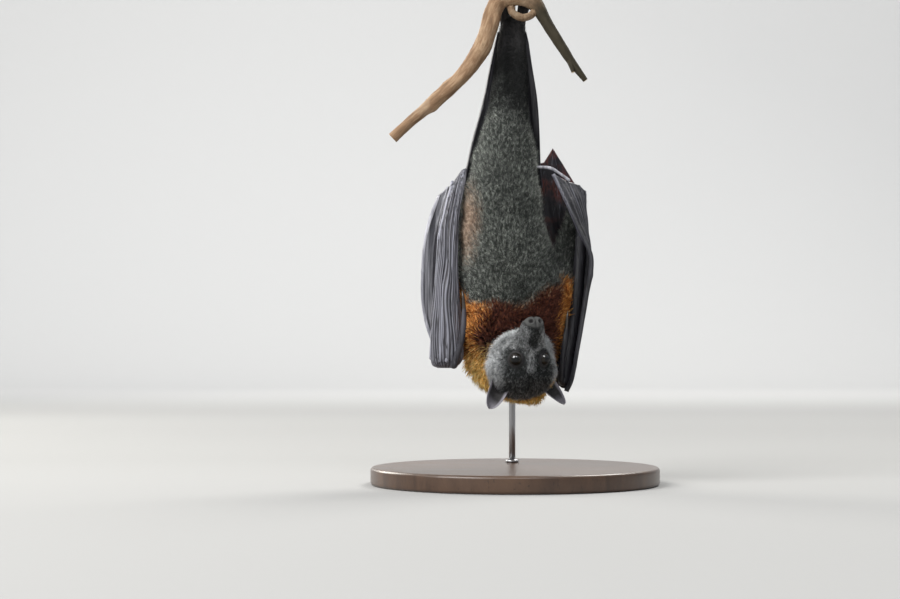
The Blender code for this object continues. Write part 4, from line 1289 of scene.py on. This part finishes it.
def drapedSheet(pile, name):
    # a curtain of wing skin: bones stand out along some columns and the skin sags between them
    rows, between, bones, sag, folds, seed, lightMarks = drapes[name]
    inner, shade, thin = [lightMarks.get(key, 0.0) for key in ("inner", "shade", "thin")]
    grid, place = wallGrid(wings[name], rows, between)
    normal = unit(np.cross(np.gradient(grid, axis=0), np.gradient(grid, axis=1)))
    down = np.linspace(0, 1, rows)[:, None]
    bay = np.abs(np.sin(math.pi * place))[None, :]
    waves = ripples(grid * (1, 1, 0.22), 9.0, seed) * folds * (0.25 + 0.75 * bay)
    pleats = np.sin(2 * math.pi * (place[None, :] * 2.5 + 0.35 * np.sin(down * 5 + seed)))
    pleats = pleats * folds * 0.7 * bay
    ends = step(0, 0.08, down) * step(1, 0.92, down)
    centre = grid + normal * ((sag * bay ** 0.8 * ends) + waves + pleats * ends)[..., None]
    across = np.linalg.norm(np.diff(grid, axis=1), axis=2)
    travel = np.concatenate([np.zeros((rows, 1)), np.cumsum(across, axis=1)], axis=1)
    ridge = np.zeros((rows, len(place)))
    for column, size in bones:
        gap = np.abs(travel - travel[:, [column * between]])
        joint = 1 + 0.35 * hill(down, 0.52, 0.015) + 0.2 * hill(down, 0.04, 0.05)
        inside = np.maximum(0, 1 - (gap / (size * 1.25 * joint)) ** 2)
        ridge = np.maximum(ridge, size * joint * np.sqrt(inside))
    rim = np.minimum(travel, travel[:, -1:] - travel)
    hem = wings["hem"] * 0.45 * step(1.6, 0.4, rim)
    half = wings["skinHalf"] + ridge + hem
    # painted highlight along the bones and at the sheet's edge
    pale = np.maximum(step(0.1, 0.9, ridge), 0.9 * wings["hem"] * step(1.4, 0.3, travel))
    # the lower part of a shaded sheet takes more painted shade, and the thin skin's painted glow fades there
    lower = step(0.95, 0.75, down)
    even = 0 * half
    pile.sheet(centre, half, bone=pale * lightMarks.get("strength", 1.0), inner=inner + even,
               shade=shade * (0.45 + 0.55 * lower) + even, thin=thin * (1 - shade * lower) + even)


def bundleFront(stations, x, z):
    # how far forward the bundle's surface lies
    row = [np.interp(z, stations[:, 0], stations[:, k]) for k in (1, 2, 3, 4)]
    share = np.clip((x - row[0]) / row[2], -0.999, 0.999)
    return row[1] - row[3] * np.sqrt(1 - np.abs(share) ** 2.5)


def leftWing(paint):
    pile = Pile()
    rows = throughPoints(wings["bundle"], 190)
    angle = around(240)[None, :]
    z = rows[:, 0][:, None]
    drift = angle + 0.10 * np.sin(z / 23 + 1.0) + 0.05 * np.sin(z / 9 + 3 * angle)
    pleat = np.abs(np.cos(drift * 6.5)) ** 0.6
    crease = np.abs(np.cos(drift * 16.5 + 0.9 * np.sin(z / 37))) ** 0.7
    depth = (1.2 + 0.5 * np.sin(angle * 5 + z / 60)) * step(105, 118, z) * step(284, 262, z)
    depth = depth * (0.35 + 0.65 * step(0.75, 0.1, np.sin(angle)))
    wide = rows[:, 3][:, None] + (pleat + 0.55 * crease) * depth * 0.5
    deep = rows[:, 4][:, None] + (pleat + 0.55 * crease) * depth
    px = wide * np.sign(np.cos(angle)) * np.abs(np.cos(angle)) ** 0.8
    py = deep * np.sign(np.sin(angle)) * np.abs(np.sin(angle)) ** 0.8
    tilted = z + rows[:, 5][:, None] * px
    grid = np.stack([rows[:, 1][:, None] + px, rows[:, 2][:, None] + py, tilted], axis=2)
    # the crests of the folds carry painted highlight, and the bundle a little of the thin skin's painted
    # glow
    pile.loft(grid, bone=0.12 * pleat + 0.60 * crease ** 3, thin=0.05)
    for finger in wings["fingers"]:
        path = throughPoints(finger, 150)
        y = [bundleFront(rows, x, z) + 0.2 * r for z, x, r in path]
        tube = tubeGrid(np.stack([path[:, 1], y, path[:, 0], path[:, 2] * 0.86], axis=1), 20)
        pile.loft(tube, bone=1.0)
    pile.tube(wings["forearms"]["Left"], 110, 36, bone=0.5)
    pile.tube(wings["thumbs"]["Left"], 60, 26, bone=0.22)
    for name in ("outerLeft", "innerLeft", "legLeft"):
        drapedSheet(pile, name)
    parts = ("forearm", "hand", "fingers", "thumb", "wing_hand", "wing_arm", "wing_leg")
    finishPiece(pile.build("wingLeft"), "wing_skin", paint, *[part + "_left" for part in parts])


def rightWing(paint):
    pile = Pile()
    # the right forearm and thumb are mostly painted shade
    pile.tube(wings["forearms"]["Right"], 110, 36, bone=0.3, shade=0.7)
    pile.tube(wings["thumbs"]["Right"], 60, 26, bone=0.3, shade=0.8)
    # the small bone is painted pale with the thin skin's painted backlight glow
    pile.tube(wings["smallBone"], 60, 16, bone=1.0, thin=0.7)
    for name in ("rearRight", "frontRight", "legRight"):
        drapedSheet(pile, name)
    parts = ("forearm", "hand", "thumb", "wing_arm", "wing_leg")
    finishPiece(pile.build("wingRight"), "wing_skin", paint, *[part + "_right" for part in parts])


def wingPaint():
    paint = Paint("wingSkin")
    bone = paint.mark("bone")
    thin = paint.mark("thin")
    cloudy = paint.noise(38.0, 4.0)
    lines = paint.noise(330.0, 4.0, 0.6, paint.place((1.0, 1.0, 0.14)), 0.4)
    cross = paint.noise(620.0, 3.0, 0.6, paint.place((0.30, 0.30, 1.0)), 0.3)
    ribs = paint.noise(210.0, 3.0, 0.5, paint.place((1.0, 1.0, 0.05)))
    grain = paint.noise(1500.0, 2.0)
    dark = paint.blend(cloudy.between(0.3, 0.7), wings["dark"], wings["grey"])
    # painted highlights: bones, fold crests and edges lightened towards the ridge colour, and the fine
    # streaks along the fingers too
    colour = paint.blend(bone.between(0.1, 1.0) * (0.60 + 0.5 * cloudy), dark, wings["ridge"])
    # inner: a painted red glow of light through the skin on the sheet behind the trunk
    paintedRedGlow = paint.mark("inner") * cloudy.between(0.42, 0.60)
    colour = paint.blend(paintedRedGlow * 0.8, colour, (0.110, 0.028, 0.020))
    colour = paint.blend(lines.between(0.58, 0.78) * 0.45, colour, wings["ridge"])
    # thin skin: painted glow of backlight through the skin, pale ribs over darker ones
    lit = paint.blend(ribs.between(0.38, 0.62), wings["backlitDark"], wings["backlitLight"])
    colour = paint.blend(thin, colour, lit)
    # painted shade: fine dark lines down the creases, which the bump also sinks
    creaseNoise = paint.noise(240.0, 2.0, 0.5, paint.place((1.0, 1.0, 0.03)))
    creaseShade = 1.0 - (creaseNoise - 0.5).maths("ABSOLUTE").between(0.008, 0.034)
    colour = paint.blend(creaseShade * (1.0 - thin) * 0.80, colour, (0.012, 0.012, 0.015))
    # painted shade: the right wing, its bones and the leg skins darkened towards black where they lie in
    # shadow
    colour = paint.blend(paint.mark("shade") * 0.93, colour, (0.004, 0.004, 0.005))
    height = lines * 0.9 + cross * 0.35 + grain * 0.15 + ribs * thin * 0.6 - creaseShade * 0.8
    sheen = {"Specular IOR Level": 0.48, "Sheen Weight": 0.09, "Sheen Roughness": 0.4,
             "Sheen Tint": (0.62, 0.60, 0.85, 1.0)}
    return paint.finish(colour, 0.33 + 0.22 * cloudy + 0.08 * grain, (height, 0.0006, 0.55), sheen)


wingSkin = wingPaint()
leftWing(wingSkin)
rightWing(wingSkin)


def barkPaint():
    paint = Paint("barkTan")
    along = paint.mark("along")
    girth = paint.mark("round")
    where = paint.add("ShaderNodeCombineXYZ", None, {0: along * 0.30, 1: girth, 2: 0.0})
    streaks = paint.noise(5.0, 6.0, 0.62, where, 0.5)
    flakes = paint.noise(16.0, 5.0, 0.6, where)
    blotch = paint.noise(28.0, 4.0)
    colour = paint.ramp(streaks, (0.22, (0.085, 0.050, 0.028)), (0.48, (0.235, 0.140, 0.078)),
                        (0.62, (0.360, 0.245, 0.150)), (0.80, (0.160, 0.100, 0.060)))
    colour = paint.blend(blotch.between(0.50, 0.72) * 0.6, colour, (0.430, 0.330, 0.230))
    # dark: the right end of the branch, the loop and the spur, partly darker bark and partly painted shade
    colour = paint.blend(paint.mark("dark") * 0.94, colour, (0.022, 0.021, 0.012))
    rings = (paint.mark("cutRadius") * 34.0 + streaks).maths("SINE") * 0.5 + 0.5
    wood = paint.blend(rings, (0.50, 0.36, 0.21), (0.62, 0.47, 0.30))
    colour = paint.blend(paint.mark("cut"), colour, wood)
    bump = (streaks * 0.8 + flakes * 0.6, 0.0007, 0.8)
    return paint.finish(colour, 0.62 + flakes * 0.25, bump, {"Specular IOR Level": 0.3})


def barkTube(pile, path, count, sides, seed, dark=0.0, knots=(), cutEnds=(False, False)):
    rows = throughPoints(path, count)
    grid = tubeGrid(rows, sides, side=(0, 1, 0), rounds=(False, False))
    middles = grid.mean(axis=1, keepdims=True)
    length = np.linspace(0, 1, count)[:, None]
    swell = ripples(grid * (0.5, 1, 0.5), 7.0, seed) * 0.030 + ripples(grid, 2.6, seed + 1) * 0.016
    angle = around(sides)[None, :]
    for place, turn, size, high in knots:
        near = hill((length - place) * 260, 0, size * 2.2)
        near = near * hill((angle - turn + 3.14) % 6.28 - 3.14, 0, 0.5)
        swell = swell + near * high * 0.24
    grid = middles + (grid - middles) * (1 + swell[..., None])
    even = 0 * swell
    pile.loft(grid, along=length * 10 + even, round=np.abs(angle / math.pi - 1) + even, dark=dark + even)
    for end, cut in ((0, cutEnds[0]), (-1, cutEnds[1])):
        if cut:
            ring = grid[end]
            middle = ring.mean(axis=0)
            out = unit(rows[end, :3] - rows[1 if end == 0 else -2, :3])
            shares = np.array([1.0, 0.97, 0.8, 0.55, 0.3, 0.08])
            lift = np.array([-0.4, 0.15, 0.25, 0.25, 0.3, 0.3])
            disc = middle + (ring - middle)[None] * shares[:, None, None] * 0.995 + out * lift[:, None, None]
            cutMark = np.repeat(np.array([0, 1.0, 1, 1, 1, 1]), len(ring))
            radius = np.repeat(shares, len(ring))
            pile.loft(disc, cut=cutMark.reshape(len(shares), -1), cutRadius=radius.reshape(len(shares), -1),
                      along=0.0, round=0.5)


def buildPerch():
    pile = Pile()
    rows = throughPoints(perch["path"], 360)
    dark = step(10, 25, rows[:, 0])[:, None]
    barkTube(pile, perch["path"], 360, 56, 31, knots=perch["knots"], cutEnds=(True, True), dark=dark)
    barkTube(pile, perch["loop"], 90, 30, 34, dark=0.35)
    barkTube(pile, perch["spur"], 40, 24, 36, dark=1.0, cutEnds=(False, True))
    finishPiece(pile.build("branch"), "bark", barkPaint(), "perch")


buildPerch()


stand = {
    "radius": 130.0,
    "height": 16.0,
    "bevel": 3.0,
    "rodRadius": 3.0,
    "rodAt": (-1.2, 60.0),
    "rodBend": 24.0,
    "rodTop": 439.0,
    "rodEnd": 6.2,
    "collar": [(0, 6.0), (2.2, 6.0), (3.0, 5.2), (3.2, 3.4)],   # height over the base, radius
}


def woodPaint():
    paint = Paint("standWood")
    where = paint.place((1.0, 6.0, 1.0))
    grain = paint.noise(9.0, 7.0, 0.62, where, 1.1)
    pores = paint.noise(160.0, 3.0, 0.6, paint.place((1.0, 14.0, 1.0)))
    colour = paint.ramp(grain, (0.25, (0.030, 0.016, 0.010)), (0.50, (0.066, 0.035, 0.020)),
                        (0.75, (0.105, 0.058, 0.033)))
    colour = paint.blend(pores.between(0.60, 0.72) * 0.6, colour, (0.014, 0.008, 0.006))
    bump = (pores * 0.5 + grain * 0.2, 0.0003, 0.5)
    return paint.finish(colour, 0.30 + 0.15 * grain, bump, {"Coat Weight": 0.25, "Coat Roughness": 0.2})


def steelPaint():
    paint = Paint("brushedSteel")
    brush = paint.noise(900.0, 3.0, 0.6, paint.place((1.0, 1.0, 0.05)))
    colour = paint.blend(brush, (0.30, 0.30, 0.31), (0.46, 0.46, 0.47))
    return paint.finish(colour, 0.26 + 0.16 * brush, (brush, 0.0001, 0.4), {"Metallic": 1.0})


def buildStand():
    radius, height, bevel = stand["radius"], stand["height"], stand["bevel"]
    profile = [(radius * share, 0.0) for share in (0.15, 0.4, 0.7, 0.9)] + [(radius - bevel, 0.0)]
    for turn in np.radians(np.linspace(-80, 0, 7)):
        profile.append((radius - bevel + bevel * math.cos(turn), bevel + bevel * math.sin(turn)))
    for turn in np.radians(np.linspace(0, 90, 8)):
        profile.append((radius - bevel + bevel * math.cos(turn), height - bevel + bevel * math.sin(turn)))
    profile += [(radius * share, height) for share in (0.9, 0.7, 0.4, 0.15)]
    angle = around(200)
    grid = np.array([[(r * math.cos(a), r * math.sin(a), z) for a in angle] for r, z in profile])
    pile = Pile()
    pile.loft(grid)
    finishPiece(pile.build("standBase"), "stand_wood", woodPaint(), "stand_base")
    x, y = stand["rodAt"]
    bend, top = stand["rodBend"], stand["rodTop"]
    thick = stand["rodRadius"]
    path = [(x, y, z, thick) for z in np.linspace(height, top - bend, 12)]
    for turn in np.radians(np.linspace(4, 90, 20)):
        path.append((x, y - bend * (1 - math.cos(turn)), top - bend * (1 - math.sin(turn)), thick))
    path += [(x, along, top, thick) for along in np.linspace(y - bend - 4, stand["rodEnd"], 6)]
    pile = Pile()
    pile.loft(tubeGrid(path, 40, rounds=(False, False)))
    collar = [(x, y, height + lift, wide) for lift, wide in stand["collar"]]
    pile.loft(tubeGrid(collar, 48, rounds=(False, False)))
    finishPiece(pile.build("standRod"), "stand_steel", steelPaint(), "stand_rod")


buildStand()


studio = {
    "floor": (0.36, 0.36, 0.358),
    # middle: a darker band of floor, painted shade that evens out the pool of light from the lamp behind the
    # bat
    "middle": (0.250, 0.250, 0.248),
    "wall": (0.50, 0.50, 0.498),
    "sky": (0.82, 0.86, 0.90),
    "skyStrength": 0.40,
    # place, aim, width, watts, colour
    "lamps": [((-2.3, -1.9, 2.6), (0, 0, 0.24), 2.5, 185.0, (1.0, 0.985, 0.96)),
              ((1.0, 1.3, 2.0), (0, 0, 0.24), 1.0, 48.0, (1.0, 0.98, 0.93)),
              ((-1.3, 1.2, 0.9), (0, 0, 0.22), 0.8, 26.0, (1.0, 0.97, 0.90)),
              ((0.4, -2.0, 2.3), (0, 0, 0.2), 1.0, 22.0, (1.0, 1.0, 1.0)),
              ((0.0, 1.0, 2.2), (0, 3.4, 1.5), 2.4, 66.0, (1.0, 1.0, 1.0))],
    "cameraAt": (-0.0585, -2.4, 0.1665),
    "viewWide": 0.81,
    # the paper sweep, in metres
    "floorFrom": -4.0,
    "halfWide": 5.0,
    "wallAt": 3.4,
    "wallTop": 4.5,
    "bend": 0.8,
}


def buildStudio():
    floor = bpy.data.meshes.new("floor")
    wall, bend, wide = studio["wallAt"], studio["bend"], studio["halfWide"]
    profile = [(studio["floorFrom"], 0.0), (wall - bend, 0.0)]
    for turn in np.radians(np.linspace(6, 90, 15)):
        profile.append((wall - bend + bend * math.sin(turn), bend - bend * math.cos(turn)))
    profile.append((wall, studio["wallTop"]))
    points = [(x, y, z) for y, z in profile for x in (-wide, wide)]
    corners = range(0, 2 * len(profile) - 2, 2)
    floor.from_pydata(points, [], [(k, k + 1, k + 3, k + 2) for k in corners])
    floor.shade_smooth()
    sweep = placed("floor", floor)
    paint = Paint("paperSweep")
    mottle = paint.noise(60.0, 3.0)
    away = paint.add("ShaderNodeSeparateXYZ", None, {0: paint.place()}, out=1)
    # painted shade: the floor darkens away from the bat under the back lamp, then turns to the paler wall
    colour = paint.blend(away.between(0.0, 1.1), studio["floor"], studio["middle"])
    colour = paint.blend(away.between(1.45, 2.6), colour, studio["wall"])
    colour = paint.blend(mottle * 0.02, colour, (0.2, 0.2, 0.2))
    floor.materials.append(paint.finish(colour, 0.9, None, {"Specular IOR Level": 0.1}))
    for number, (at, aim, width, watts, colour) in enumerate(studio["lamps"]):
        lamp = bpy.data.lights.new("lamp%d" % number, "AREA")
        lamp.energy, lamp.size, lamp.color = watts, width, colour
        holder = placed(lamp.name, lamp)
        holder.location = at
        holder.rotation_euler = aimed(np.array(aim) - np.array(at))
    world = bpy.data.worlds.new("studio")
    bpy.context.scene.world = world
    world.use_nodes = True
    backdrop = world.node_tree.nodes["Background"]
    backdrop.inputs["Color"].default_value = (*studio["sky"], 1.0)
    backdrop.inputs["Strength"].default_value = studio["skyStrength"]
    lens = bpy.data.cameras.new("camera")
    distance = -studio["cameraAt"][1]
    lens.sensor_width = 36.0
    lens.lens = 36.0 * distance / studio["viewWide"]
    camera = placed("camera", lens)
    camera.location = studio["cameraAt"]
    camera.rotation_euler = (math.radians(90), 0, 0)
    bpy.context.scene.camera = camera
    bpy.context.scene.view_settings.view_transform = "Standard"
    print("studio:", len(studio["lamps"]), "lamps")


def aimed(way):
    return Vector(way).to_track_quat("-Z", "Y").to_euler()


buildStudio()
